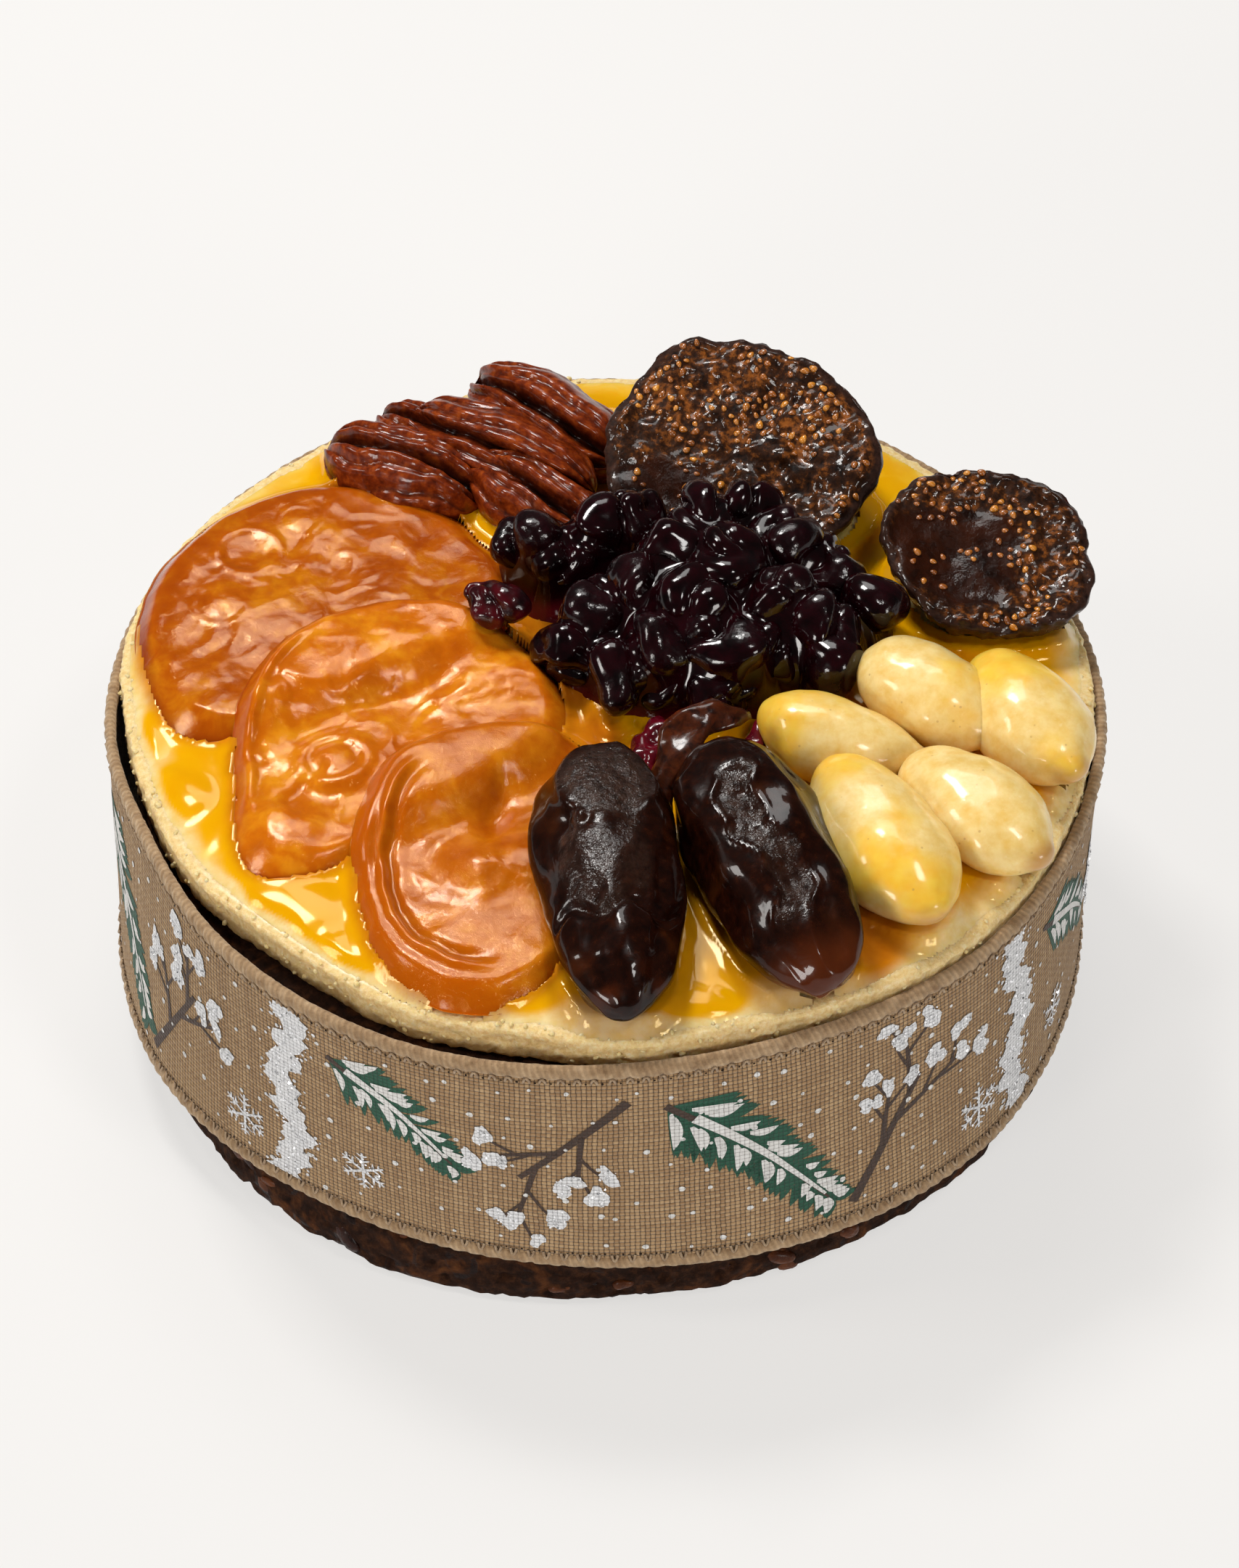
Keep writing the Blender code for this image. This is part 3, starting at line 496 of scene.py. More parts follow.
def date_material():
    s = Shade("date_skin")
    matte, low, skin = s.mark("matte"), s.mark("low"), s.noise(1.1, 4, 0.6)
    color = s.ramp(skin, (0.3, (0.004, 0.0010, 0.0006)), (0.6, (0.014, 0.0028, 0.0010)), (0.8, (0.038, 0.0085, 0.0025)))
    color = s.mix(matte, color, s.ramp(s.noise(0.8, 4, 0.65), (0.3, (0.009, 0.0035, 0.002)), (0.7, (0.050, 0.024, 0.016))))
    amber = s.span(s.noise(4.6, 2, 0.5, 0.3), 0.56, 0.78)
    color = s.mix(s.math("MULTIPLY", amber, 0.30), color, (0.090, 0.022, 0.004))
    color = s.mix(low, color, (0.13, 0.026, 0.006))
    normal = s.bump(s.math("MULTIPLY", s.noise(0.55, 3, 0.6), matte), 0.34, 0.9, s.bump(s.noise(1.6, 2, 0.5, 0.6), 0.16, 0.35))
    s.set(Base_Color=color, Roughness=s.span(matte, 0, 1, 0.26, 0.36), Normal=normal, Subsurface_Weight=0.10, Subsurface_Radius=(1.0, 0.22, 0.06), Subsurface_Scale=0.0014)
    s.set(Coat_Weight=0.42, Coat_Roughness=0.06, IOR=1.45, Specular_IOR_Level=0.08)
    s.put(s.bsdf.inputs["Coat Normal"], s.bump(s.math("MULTIPLY", s.noise(0.7, 3, 0.6), matte), 0.34, 1.0, s.bump(s.noise(2.4, 2, 0.5, 0.6), 0.12, 0.4)))
    return s.mat


def flap_material():
    s = Shade("torn_date_skin")
    tone = s.noise(1.0, 3, 0.6, 0.6)
    s.set(Base_Color=s.ramp(tone, (0.3, (0.012, 0.0025, 0.0012)), (0.7, (0.080, 0.017, 0.004))), Roughness=0.3, Normal=s.bump(s.noise(0.7, 3), 0.12, 0.5))
    s.set(Subsurface_Weight=0.25, Subsurface_Radius=(1.0, 0.22, 0.06), Subsurface_Scale=0.001, Coat_Weight=0.45, Coat_Roughness=0.12, Specular_IOR_Level=0.1)
    return s.mat


def pecan_material():
    s = Shade("pecan_skin")
    groove = s.mark("groove")
    skin = s.noise(0.9, 4, 0.6)
    color = s.ramp(skin, (0.28, (0.055, 0.006, 0.0015)), (0.5, (0.17, 0.022, 0.003)), (0.74, (0.35, 0.066, 0.008)))
    # painted shade in the middle furrow and the hollows between the ridges
    color = s.mix(groove, color, (0.018, 0.003, 0.0015))
    normal = s.bump(s.noise(0.5, 4, 0.6), 0.06, 0.6, s.bump(s.noise(1.7, 2), 0.12, 0.4))
    s.set(Base_Color=color, Roughness=0.34, Normal=normal, Coat_Weight=0.42, Coat_Roughness=0.12, IOR=1.45, Specular_IOR_Level=0.08)
    return s.mat


def fig_material():
    s = Shade("fig_flesh")
    jelly, edge = s.mark("jelly"), s.mark("rim")
    grain, wide = s.noise(0.75, 5, 0.65), s.noise(3.2, 3, 0.6, 0.8)
    flesh = s.ramp(s.math("ADD", s.math("MULTIPLY", grain, 0.6), s.math("MULTIPLY", wide, 0.4)), (0.38, (0.006, 0.002, 0.001)), (0.51, (0.036, 0.011, 0.003)), (0.64, (0.27, 0.080, 0.013)))
    goo = s.ramp(wide, (0.3, (0.006, 0.0018, 0.001)), (0.7, (0.032, 0.007, 0.002)))
    color = s.mix(jelly, flesh, goo)
    color = s.mix(edge, color, s.ramp(grain, (0.3, (0.010, 0.004, 0.003)), (0.7, (0.052, 0.022, 0.014))))
    normal = s.bump(grain, 0.22, 0.65, s.bump(s.cells(1.2), 0.22, 0.4))
    s.set(Base_Color=color, Roughness=s.span(jelly, 0, 1, 0.42, 0.18), Normal=normal, Subsurface_Weight=0.06, Subsurface_Scale=0.001)
    s.set(Coat_Weight=0.42, Coat_Roughness=0.07, IOR=1.45, Specular_IOR_Level=0.08)
    s.put(s.bsdf.inputs["Coat Normal"], s.bump(s.noise(1.1, 3), 0.14, 0.6))
    return s.mat


def seed_material():
    s = Shade("fig_seed")
    tone = s.mark("tone")
    s.set(Base_Color=s.ramp(tone, (0.0, (0.10, 0.024, 0.004)), (0.5, (0.32, 0.090, 0.008)), (1.0, (0.68, 0.26, 0.022))), Roughness=0.3, Normal=s.bump(s.noise(0.3, 2), 0.03, 0.4))
    s.set(Coat_Weight=0.8, Coat_Roughness=0.12)
    return s.mat


def cranberry_material(name, deep, light):
    s = Shade(name)
    rough_patch, thin = s.mark("crinkle"), s.mark("thin")
    tone = s.noise(1.8, 3, 0.55)
    color = s.ramp(tone, (0.3, deep), (0.72, light))
    color = s.mix(thin, color, (0.11, 0.003, 0.008))
    fine = s.bump(s.noise(0.33, 4, 0.65, 0.5), 0.16, 0.8)
    normal = s.bump(s.math("MULTIPLY", s.cells(0.6, "F1"), rough_patch), 0.07, 0.6, s.bump(s.noise(1.4, 2, 0.5), 0.08, 0.4))
    s.set(Base_Color=color, Roughness=s.span(rough_patch, 0, 1, 0.16, 0.32), Normal=normal, Subsurface_Weight=0.08, Subsurface_Radius=(1.0, 0.08, 0.08), Subsurface_Scale=0.0012)
    s.set(Coat_Weight=0.62, Coat_Roughness=0.07, IOR=1.45, Specular_IOR_Level=0.08)
    s.put(s.bsdf.inputs["Coat Normal"], s.bump(s.math("MULTIPLY", s.noise(0.6, 3, 0.55), rough_patch), 0.08, 0.7, s.bump(s.noise(2.4, 2), 0.08, 0.35)))
    return s.mat


PITCH_U, PITCH_V = 0.485, 0.48  # threads of the ribbon, mm


def weave_nodes(s):
    """(height of the plain weave 0 to 1, thread-by-thread tone) from the strip's own coordinates."""
    strip = s.node("ShaderNodeSeparateXYZ", {"Vector": s.mark("strip", "Vector")})
    wander = s.math("MULTIPLY", s.math("SUBTRACT", s.noise(7.0, 2), 0.5), 0.5)
    u = s.math("DIVIDE", s.math("ADD", strip.outputs["X"], wander), PITCH_U)
    v = s.math("DIVIDE", s.math("ADD", strip.outputs["Y"], wander), PITCH_V)
    fu, fv, iu, iv = s.math("FRACT", u), s.math("FRACT", v), s.math("FLOOR", u), s.math("FLOOR", v)
    cu = s.math("MULTIPLY", s.math("MULTIPLY", fu, s.math("SUBTRACT", 1.0, fu)), 4.0)
    cv = s.math("MULTIPLY", s.math("MULTIPLY", fv, s.math("SUBTRACT", 1.0, fv)), 4.0)
    over = s.math("MODULO", s.math("ABSOLUTE", s.math("ADD", iu, iv)), 2.0)
    along = s.math("MULTIPLY", s.math("POWER", cv, 0.75), s.math("POWER", cu, 0.33))
    across = s.math("MULTIPLY", s.math("POWER", cu, 0.75), s.math("POWER", cv, 0.33))
    height = s.math("ADD", s.math("MULTIPLY", along, over), s.math("MULTIPLY", across, s.math("SUBTRACT", 1.0, over)))
    warp = s.node("ShaderNodeTexWhiteNoise", {"W": iv}, noise_dimensions="1D").outputs["Value"]
    weft = s.node("ShaderNodeTexWhiteNoise", {"W": s.math("ADD", iu, 0.37)}, noise_dimensions="1D").outputs["Value"]
    tone = s.math("ADD", s.math("MULTIPLY", warp, over), s.math("MULTIPLY", weft, s.math("SUBTRACT", 1.0, over)))
    return height, tone


def weave_material():
    s = Shade("linen_weave")
    height, tone = weave_nodes(s)
    thread = s.ramp(s.math("ADD", s.math("MULTIPLY", tone, 0.55), s.math("MULTIPLY", s.noise(2.5, 3), 0.45)), (0.2, (0.31, 0.177, 0.080)), (0.55, (0.41, 0.250, 0.119)), (0.9, (0.53, 0.350, 0.184)))
    # painted shade in the dips between the threads
    color = s.mix(s.span(height, 0.14, 0.64), (0.070, 0.036, 0.016), thread)
    color = s.mix(s.span(s.noise(0.25, 2), 0.62, 0.75, 0, 0.25), color, (0.60, 0.46, 0.32))
    normal = s.bump(s.noise(0.18, 3), 0.04, 0.5, s.bump(height, 0.22, 0.85))
    s.set(Base_Color=color, Roughness=0.82, Normal=normal, Sheen_Weight=0.25, Sheen_Roughness=0.5, Sheen_Tint=(0.9, 0.8, 0.65))
    s.set(Specular_IOR_Level=0.3)
    return s.mat


def ink_material(name, color, shade, rough=0.55, sparkle=0.0):
    """Printing ink on the weave: the threads still show through it."""
    s = Shade(name)
    height, tone = weave_nodes(s)
    ink = s.mix(s.math("MULTIPLY", tone, 0.5), color, shade)
    worn = s.span(s.math("ADD", s.noise(0.5, 4, 0.7), s.math("MULTIPLY", height, 0.35)), 0.40, 0.52)
    # painted shade in the dips between the threads
    ink = s.mix(s.span(height, 0.08, 0.42), (shade[0] * 0.45, shade[1] * 0.45, shade[2] * 0.45), ink)
    ink = s.mix(s.math("MULTIPLY", s.math("SUBTRACT", 1.0, worn), 0.35), ink, (0.28, 0.19, 0.12))
    normal = s.bump(height, 0.16, 0.7)
    if sparkle:
        normal = s.bump(s.cells(0.32, out="Color"), 0.10, 1.0, normal)
    s.set(Base_Color=ink, Roughness=rough, Normal=normal, Specular_IOR_Level=0.4)
    return s.mat


def flake_material():
    s = Shade("glitter_flake")
    s.set(Base_Color=(0.92, 0.93, 0.95), Metallic=0.85, Roughness=s.span(s.noise(0.4), 0.3, 0.7, 0.10, 0.28))
    return s.mat


def hem_material():
    s = Shade("rolled_hem")
    strip = s.node("ShaderNodeSeparateXYZ", {"Vector": s.mark("strip", "Vector")})
    turn = s.math("SINE", s.math("ADD", s.math("MULTIPLY", strip.outputs["X"], 2 * math.pi / 0.62), s.math("MULTIPLY", strip.outputs["Y"], 3.2)))
    threads = s.span(turn, -1, 1)
    tone = s.noise(1.3, 4, 0.65)
    color = s.ramp(tone, (0.28, (0.25, 0.145, 0.070)), (0.52, (0.42, 0.275, 0.15)), (0.75, (0.58, 0.410, 0.25)))
    # painted shade in the troughs between the turns of the rolled hem
    color = s.mix(s.math("MULTIPLY", s.math("SUBTRACT", 1.0, threads), 0.30), color, (0.15, 0.09, 0.045))
    normal = s.bump(s.noise(0.22, 4, 0.7), 0.12, 0.8, s.bump(threads, 0.10, 0.6))
    s.set(Base_Color=color, Roughness=0.88, Normal=normal, Sheen_Weight=0.45, Sheen_Roughness=0.45, Sheen_Tint=(0.95, 0.86, 0.72), Specular_IOR_Level=0.25)
    return s.mat


def stitch_material():
    s = Shade("hem_stitch")
    s.set(Base_Color=s.ramp(s.noise(0.4, 3), (0.3, (0.22, 0.13, 0.065)), (0.7, (0.46, 0.33, 0.20))), Roughness=0.85, Normal=s.bump(s.noise(0.15, 3), 0.05, 0.7), Sheen_Weight=0.3, Sheen_Roughness=0.5)
    return s.mat


crumb = crumb_material()
crumb_fruit = crumb_fruit_material()
marzipan_paste = marzipan_material()
glaze = glaze_material()
slice_back = slice_material("candied_slice_back", (0.61, 0.205, 0.005), (0.44, 0.092, 0.002), (0.33, 0.052, 0.0012), (0.25, 0.030, 0.0015), 0.25)
slice_middle = slice_material("candied_slice_middle", (0.74, 0.27, 0.008), (0.58, 0.142, 0.003), (0.45, 0.088, 0.002), (0.37, 0.050, 0.002), 0.35)
slice_front = slice_material("candied_slice_front", (0.66, 0.21, 0.006), (0.52, 0.122, 0.002), (0.42, 0.080, 0.001), (0.46, 0.088, 0.0012), 0.5)
almond_skin = almond_material()
date_skin = date_material()
flap_skin = flap_material()
pecan_skin = pecan_material()
fig_flesh = fig_material()
fig_seed = seed_material()
cranberry = cranberry_material("cranberry_skin", (0.0022, 0.0004, 0.0007), (0.014, 0.0010, 0.0024))
cranberry_red = cranberry_material("cranberry_scrap", (0.020, 0.001, 0.003), (0.15, 0.003, 0.012))
weave = weave_material()
hem = hem_material()
stitch = stitch_material()
ink_green = ink_material("print_green", (0.008, 0.085, 0.045), (0.004, 0.045, 0.024))
ink_white = ink_material("print_white", (0.80, 0.79, 0.77), (0.58, 0.56, 0.53))
ink_glitter = ink_material("print_glitter", (0.86, 0.86, 0.87), (0.60, 0.60, 0.62), 0.32, 1.0)
ink_brown = ink_material("print_brown", (0.060, 0.030, 0.018), (0.030, 0.014, 0.008))
flake = flake_material()


# ---------------------------------------------------------------- cake


def ring_points(radii, degrees, z):
    rad = np.radians(degrees)
    return np.stack([radii * np.cos(rad), radii * np.sin(rad), np.broadcast_to(z, radii.shape)], -1)


def cake_piece():
    cols = 420
    deg = -180 + 360 * np.arange(cols) / cols
    rows = [(0.0, 2.3, 1), (0.0, 1.9, 1), (0.12, 1.2, 1), (0.4, 0.75, 1), (0.8, 0.45, 1)]
    rows += [(z, 0.0, 1.0 - 0.22 * step(2.4, 5.0, z) - 0.7 * step(5.0, 8.6, z)) for z in np.arange(1.2, 9.4, 0.32)]
    rows += [(z, 0.5, 0.0) for z in (11, 16, 22, 27)]
    rows += [(z, 0.5 + 0.3 * step(31, 32.4, z), 0.0) for z in np.arange(28, 32.2, 0.5)]
    rows += [(32.2, 1.2, 0.0), (32.4, 1.9, 0.0), (32.4, 3.2, 0.0), (32.4, 6.0, 0.0)]
    co = []
    for z, inset, swell in rows:
        r = around(CAKE_RADIUS, deg) + around(BASE_SWELL, deg) * swell - inset
        co.append(ring_points(r, deg, z))
    co = np.concatenate(co)
    quads = sweep(len(rows), cols)
    n = len(co)
    co = np.concatenate([co, [(0, 0, 0.0), (0, 0, CAKE_TOP)]])
    tris = np.concatenate([fan(np.arange(cols), n, True), fan((len(rows) - 1) * cols + np.arange(cols), n + 1)])
    quads, tris = outward(co, quads, tris)
    nrm = normals_of(co, quads, tris)
    rough = 0.26 * lumps(co, 3.6, 4, 2) + 0.24 * (folds(co, 1.6, 6, 2) - 0.45) + 0.10 * lumps(co, 0.8, 8)
    pits = -0.55 * step(0.30, 0.12, cells(co, 2.6, 5)[0])
    push = np.clip(rough + pits, -0.8, 0.42)
    push *= step(0.0, 0.5, co[:, 2]) * (co[:, 2] < CAKE_TOP - 0.02)
    push[(co[:, 2] > 9.5) & (co[:, 2] < 29)] *= 0.3
    co = co + nrm * push[:, None]
    co[:, 2] = np.clip(co[:, 2], 0, CAKE_TOP)
    build("cake_body", co, quads, tris, crumb, "fruit_cake", ("cake",))
    # fruit that shows in the crumb below the ribbon
    rng = np.random.default_rng(11)
    lot = Lot()
    base, bq, bt = ball(12, 8)
    for k in range(110):
        a = rng.uniform(-180, 180)
        z = rng.uniform(0.9, 6.6)
        size = rng.uniform(0.5, 1.7) * (1.0 if rng.random() < 0.6 else 0.6)
        kind = 1.0 if rng.random() < 0.5 else 0.0
        r = float(around(CAKE_RADIUS, a) + around(BASE_SWELL, a) * (1 - 0.2 * step(2.4, 5, z) - 0.7 * step(5, 8.6, z)) - (0.4 if z < 1.5 else 0))
        p = base * (size * rng.uniform(0.8, 1.5), size * rng.uniform(0.3, 0.5), size * rng.uniform(0.5, 0.9))
        p = p * (1 + 0.25 * lumps(p + k * 9, size * 0.9, 3))[:, None]
        p = p @ turned(a + 90 + rng.uniform(-15, 15), 0, rng.uniform(-20, 20)).T
        p = p @ np.array(Matrix.Rotation(math.radians(rng.uniform(-40, 40)), 3, Vector((math.cos(math.radians(a)), math.sin(math.radians(a)), 0)))).T
        p = p + ((r - 0.28) * math.cos(math.radians(a)), (r - 0.28) * math.sin(math.radians(a)), z)
        p[:, 2] = np.maximum(p[:, 2], 0.05)
        lot.add(p, bq, bt, {"kind": kind})
    lot.build("cake_fruit", crumb_fruit, "fruit_cake")


def marzipan_wall(deg):
    return np.minimum(around(MARZIPAN_RADIUS, deg), around(RIBBON_TOP_RADIUS, deg) - HEM_THICK - 0.05)


def marzipan_top_z(x, y):
    p = np.stack([x, y, np.zeros_like(x)], -1)
    return MARZIPAN_TOP + 0.10 * lumps(p, 14, 3) + 0.05 * lumps(p, 5, 4) - 0.08


def marzipan_piece():
    cols = 640
    deg = -180 + 360 * np.arange(cols) / cols
    side = [(MARZIPAN_BOTTOM - 0.3, 1.6, 0), (MARZIPAN_BOTTOM - 0.2, 0.7, 0), (MARZIPAN_BOTTOM, 0.15, 0)]
    side += [(z, 0.0, step(35.0, 35.7, z)) for z in np.linspace(MARZIPAN_BOTTOM + 0.3, 35.9, 11)]
    side += [(36.15, 0.16, 1), (36.33, 0.42, 1), (36.44, 0.8, 1), (36.5, 1.25, 1)]
    co, cut = [], []
    for z, inset, free in side:
        r = around(MARZIPAN_RADIUS, deg) * free + marzipan_wall(deg) * (1 - free) - inset
        co.append(ring_points(r, deg, z))
        cut.append(np.full(cols, 1.0 if z < 36.3 else 0.85))
    rim = around(MARZIPAN_RADIUS, deg) - 1.25
    shares = np.concatenate([1 - np.cumsum(np.linspace(0.012, 0.05, 24))[:20], [0.25, 0.1]])
    for s in shares:
        p = ring_points(rim * s, deg, MARZIPAN_TOP)
        edge = rim * (1 - s)
        p[:, 2] = marzipan_top_z(p[:, 0], p[:, 1])
        co.append(p)
        cut.append(0.85 * (1 - step(0.2, 1.5, edge + 0.5 * lumps(p, 2.0, 12))))
    rows = len(side) + len(shares)
    co = np.concatenate(co)
    cut = np.concatenate(cut)
    quads = sweep(rows, cols)
    n = len(co)
    co = np.concatenate([co, [(0, 0, MARZIPAN_BOTTOM - 0.3), (0, 0, float(marzipan_top_z(np.zeros(1), np.zeros(1))[0]))]])
    cut = np.concatenate([cut, [1, 0]])
    tris = np.concatenate([fan(np.arange(cols), n, True), fan((rows - 1) * cols + np.arange(cols), n + 1)])
    quads, tris = outward(co, quads, tris)
    nrm = normals_of(co, quads, tris)
    grain = 0.16 * lumps(co, 0.9, 21, 2) + 0.13 * lumps(co, 2.4, 22) + 0.10 * lumps(co, 0.45, 23) - 0.16 * step(0.36, 0.15, cells(co, 1.3, 7)[0])
    calm = 1 - 0.78 * step(36.12, 36.34, co[:, 2])
    co = co + nrm * (grain * np.clip(cut, 0.12, 1) * calm - 0.03)[:, None]
    co[:, 2] = np.minimum(co[:, 2], MARZIPAN_TOP + 0.12)
    # painted shade: darker low on the cut side, in the gap behind the ribbon
    low = step(34.6, 33.0, co[:, 2])
    build("marzipan_disc", co, quads, tris, marzipan_paste, "marzipan", ("marzipan",), {"cut": cut, "low": low})
    # crumbs torn from the cut edge, resting on the rim
    rng = np.random.default_rng(5)
    lot = Lot()
    base, bq, bt = ball(8, 5)
    for k in range(360):
        a = rng.uniform(-180, 180)
        size = rng.uniform(0.10, 0.32)
        r = float(around(MARZIPAN_RADIUS, a))
        wall = float(marzipan_wall(np.array([a]))[0])
        if rng.random() < 0.55:
            z, r = rng.uniform(33.2, 35.6), wall - 0.02
        else:
            z, r = MARZIPAN_TOP - 0.02 - 0.25 * rng.random(), r - rng.uniform(0.25, 1.3)
        p = base * (size * rng.uniform(0.8, 1.5), size, size * rng.uniform(0.6, 1.0))
        p = p * (1 + 0.3 * lumps(p * 3 + k * 5, 0.6, 3))[:, None]
        p = p @ turned(rng.uniform(0, 360), rng.uniform(-40, 40), 0).T + (r * math.cos(math.radians(a)), r * math.sin(math.radians(a)), z)
        lot.add(p, bq, bt, {"cut": 1.0, "low": 0.0})
    lot.build("marzipan_crumbs", marzipan_paste, "marzipan")


# ---------------------------------------------------------------- ribbon

RIBBON_LAP = 10.0
RIBBON_START = 88.0  # where the strip's hidden end lies, in degrees: the back
deg_fine = np.linspace(0, 360, 2001)


def ribbon_middle_radius(deg):
    return 0.5 * (around(RIBBON_TOP_RADIUS, deg) + around(RIBBON_FOOT_RADIUS, deg)) - 0.5


_r = ribbon_middle_radius(RIBBON_START + deg_fine)
_seg = np.radians(deg_fine[1] - deg_fine[0]) * 0.5 * (_r[1:] + _r[:-1])
RIBBON_TURN = float(_seg.sum())  # mm once round the cake
_along = np.concatenate([[0], np.cumsum(_seg)])
RIBBON_LENGTH = RIBBON_TURN + RIBBON_LAP


def strip_point(u, v, out=0.0):
    """The place on the ribbon's outer face u mm along it and v mm over its lower edge, `out` mm proud."""
    u, v = np.asarray(u, float), np.asarray(v, float)
    deg = RIBBON_START + np.interp(u % RIBBON_TURN, _along, deg_fine)
    z = RIBBON_BOTTOM + v
    t = (z - RIBBON_BOTTOM) / (RIBBON_TOP - RIBBON_BOTTOM)
    r = around(RIBBON_TOP_RADIUS, deg) * t + around(RIBBON_FOOT_RADIUS, deg) * (1 - t) - 0.35
    p = np.stack([50 * np.cos(np.radians(deg)), 50 * np.sin(np.radians(deg)), z], -1).reshape(-1, 3)
    ripple = (0.16 * lumps(p, 17, 41) + 0.05 * lumps(p, 6, 42)).reshape(r.shape) * np.sin(np.pi * np.clip(t, 0, 1)) ** 0.5
    lap = 0.55 * step(RIBBON_TURN - 3.5, RIBBON_TURN + 0.5, u)
    r = r + ripple + lap + out
    return np.stack([r * np.cos(np.radians(deg)), r * np.sin(np.radians(deg)), z], -1)


def ribbon_pieces():
    us = np.linspace(0, RIBBON_LENGTH, 640)
    vs = np.linspace(1.2, RIBBON_TOP - RIBBON_BOTTOM - 1.2, 18)
    U, V = np.meshgrid(us, vs, indexing="ij")
    front = strip_point(U, V).reshape(-1, 3)
    back = strip_point(U, V, -0.42).reshape(-1, 3)
    rows, cols = U.shape
    q = sweep(rows, cols, wrap=False)
    n = rows * cols
    border = np.concatenate([np.arange(cols), np.arange(1, rows) * cols + cols - 1, (rows - 1) * cols + np.arange(cols - 2, -1, -1), np.arange(rows - 2, 0, -1) * cols])
    nxt = np.roll(border, -1)
    rim = np.stack([border, border + n, nxt + n, nxt], 1)
    quads = np.concatenate([q, q[:, ::-1] + n, rim])
    co = np.concatenate([front, back])
    strip = np.stack([U.ravel(), V.ravel(), np.zeros(n)], -1)
    middle = co.mean(0)
    nrm = normals_of(co, quads, None)
    if (nrm[:n] * (front * (1, 1, 0))).sum() < 0:
        quads = quads[:, ::-1]
    cloth = build("ribbon_cloth", co, quads, None, weave, "linen_ribbon", ("ribbon",), vectors={"strip": np.concatenate([strip, strip])})

    def hem_piece(name, v0, seed):
        us = np.linspace(0, RIBBON_LENGTH, 1000)
        ring = 10
        th = np.linspace(0, 2 * np.pi, ring, endpoint=False)
        U, T = np.meshgrid(us, th, indexing="ij")
        pinch = 0.5 + 0.5 * np.cos(2 * np.pi * U / 1.62)
        half_t, half_v = HEM_THICK / 2, HEM_TALL / 2 - 0.1
        squash = 1 - 0.24 * pinch**2 * (np.cos(T) > 0)
        out = half_t * np.sign(np.cos(T)) * np.abs(np.cos(T)) ** 0.85 * squash - 0.27
        v = v0 + half_v * np.sin(T) * (1 - 0.05 * pinch)
        path = strip_point(U, np.clip(v, 0.0, RIBBON_TOP - RIBBON_BOTTOM), out).reshape(-1, 3)
        path[:, 2] = (RIBBON_BOTTOM + v).ravel()
        quads = sweep(len(us), ring)
        n = len(path)
        co = np.concatenate([path, path[:ring].mean(0)[None], path[-ring:].mean(0)[None]])
        tris = np.concatenate([fan(np.arange(ring), n, True), fan((len(us) - 1) * ring + np.arange(ring), n + 1)])
        strip = np.stack([U.ravel(), v.ravel(), T.ravel()], -1)
        strip = np.concatenate([strip, strip[:1], strip[-1:]])
        nrm = normals_of(co, quads, tris)
        mid = np.repeat(path.reshape(len(us), ring, 3).mean(1), ring, axis=0)
        if ((path - mid) * nrm[:n]).sum() < 0:
            quads, tris, nrm = quads[:, ::-1], tris[:, ::-1], -nrm
        fuzz = 0.05 * lumps(co, 0.55, seed, 2) + 0.06 * lumps(co, 3.0, seed + 1)
        co = co + nrm * fuzz[:, None]
        return build(name, co, quads, tris, hem, "linen_ribbon", vectors={"strip": strip})

    tall = RIBBON_TOP - RIBBON_BOTTOM
    hems = [hem_piece("hem_top", tall - HEM_TALL / 2, 51), hem_piece("hem_foot", HEM_TALL / 2, 61)]

    # the sewing along the inside of each hem: a slanting thread and, at each stitch, a small hole drawn as a dark disc
    # of painted shade
    lot, holes = Lot(), Lot()
    rng = np.random.default_rng(3)
    count = int(RIBBON_LENGTH / 1.62)
    for k in range(1, count):
        u0 = k * 1.62 + rng.uniform(-0.1, 0.1)
        for top in (True, False):
            edge = tall - HEM_TALL if top else HEM_TALL
            way = -1 if top else 1
            s = np.linspace(0, 1, 7)
            uu = u0 + 0.62 * (s - 0.5)
            vv = edge - way * 0.75 * np.sin(np.pi * s) ** 0.8 + way * 0.30
            lift = 0.06 + 0.20 * np.sin(np.pi * s)
            line = strip_point(uu, vv, lift)
            tube, quads = thread(line, 0.13, 5)
            lot.add(tube, quads, None)
            # a dark disc of painted shade for the stitch hole
            hu, hv = u0 + 0.80, edge + way * 0.32
            w, h = rng.uniform(0.09, 0.15), rng.uniform(0.10, 0.18)
            ang = np.linspace(0, 2 * np.pi, 9)[:-1]
            disc = strip_point(hu + w * np.cos(ang), hv + h * np.sin(ang), 0.045)
            hub = strip_point(np.array([hu]), np.array([hv]), 0.045)
            holes.add(np.concatenate([disc, hub]), None, fan(np.arange(8), 8), None, {"strip": np.tile((hu, hv, 0.0), (9, 1))})
    sewing = lot.build("hem_sewing", stitch, "linen_ribbon")
    eyes = holes.build("stitch_hole_shades", hole_shadow, "linen_ribbon")
    return cloth, hems, sewing, eyes


def thread(line, radius, sides):
    """A round tube with open ends along a line of points."""
    t = np.gradient(line, axis=0)
    t /= np.maximum(np.linalg.norm(t, axis=1, keepdims=True), 1e-9)
    up = np.array((0.13, 0.17, 0.98))
    a = np.cross(t, up)
    a /= np.maximum(np.linalg.norm(a, axis=1, keepdims=True), 1e-9)
    b = np.cross(t, a)
    th = np.linspace(0, 2 * np.pi, sides, endpoint=False)
    co = line[:, None, :] + radius * (np.cos(th)[None, :, None] * a[:, None, :] + np.sin(th)[None, :, None] * b[:, None, :])
    return co.reshape(-1, 3), sweep(len(line), sides)


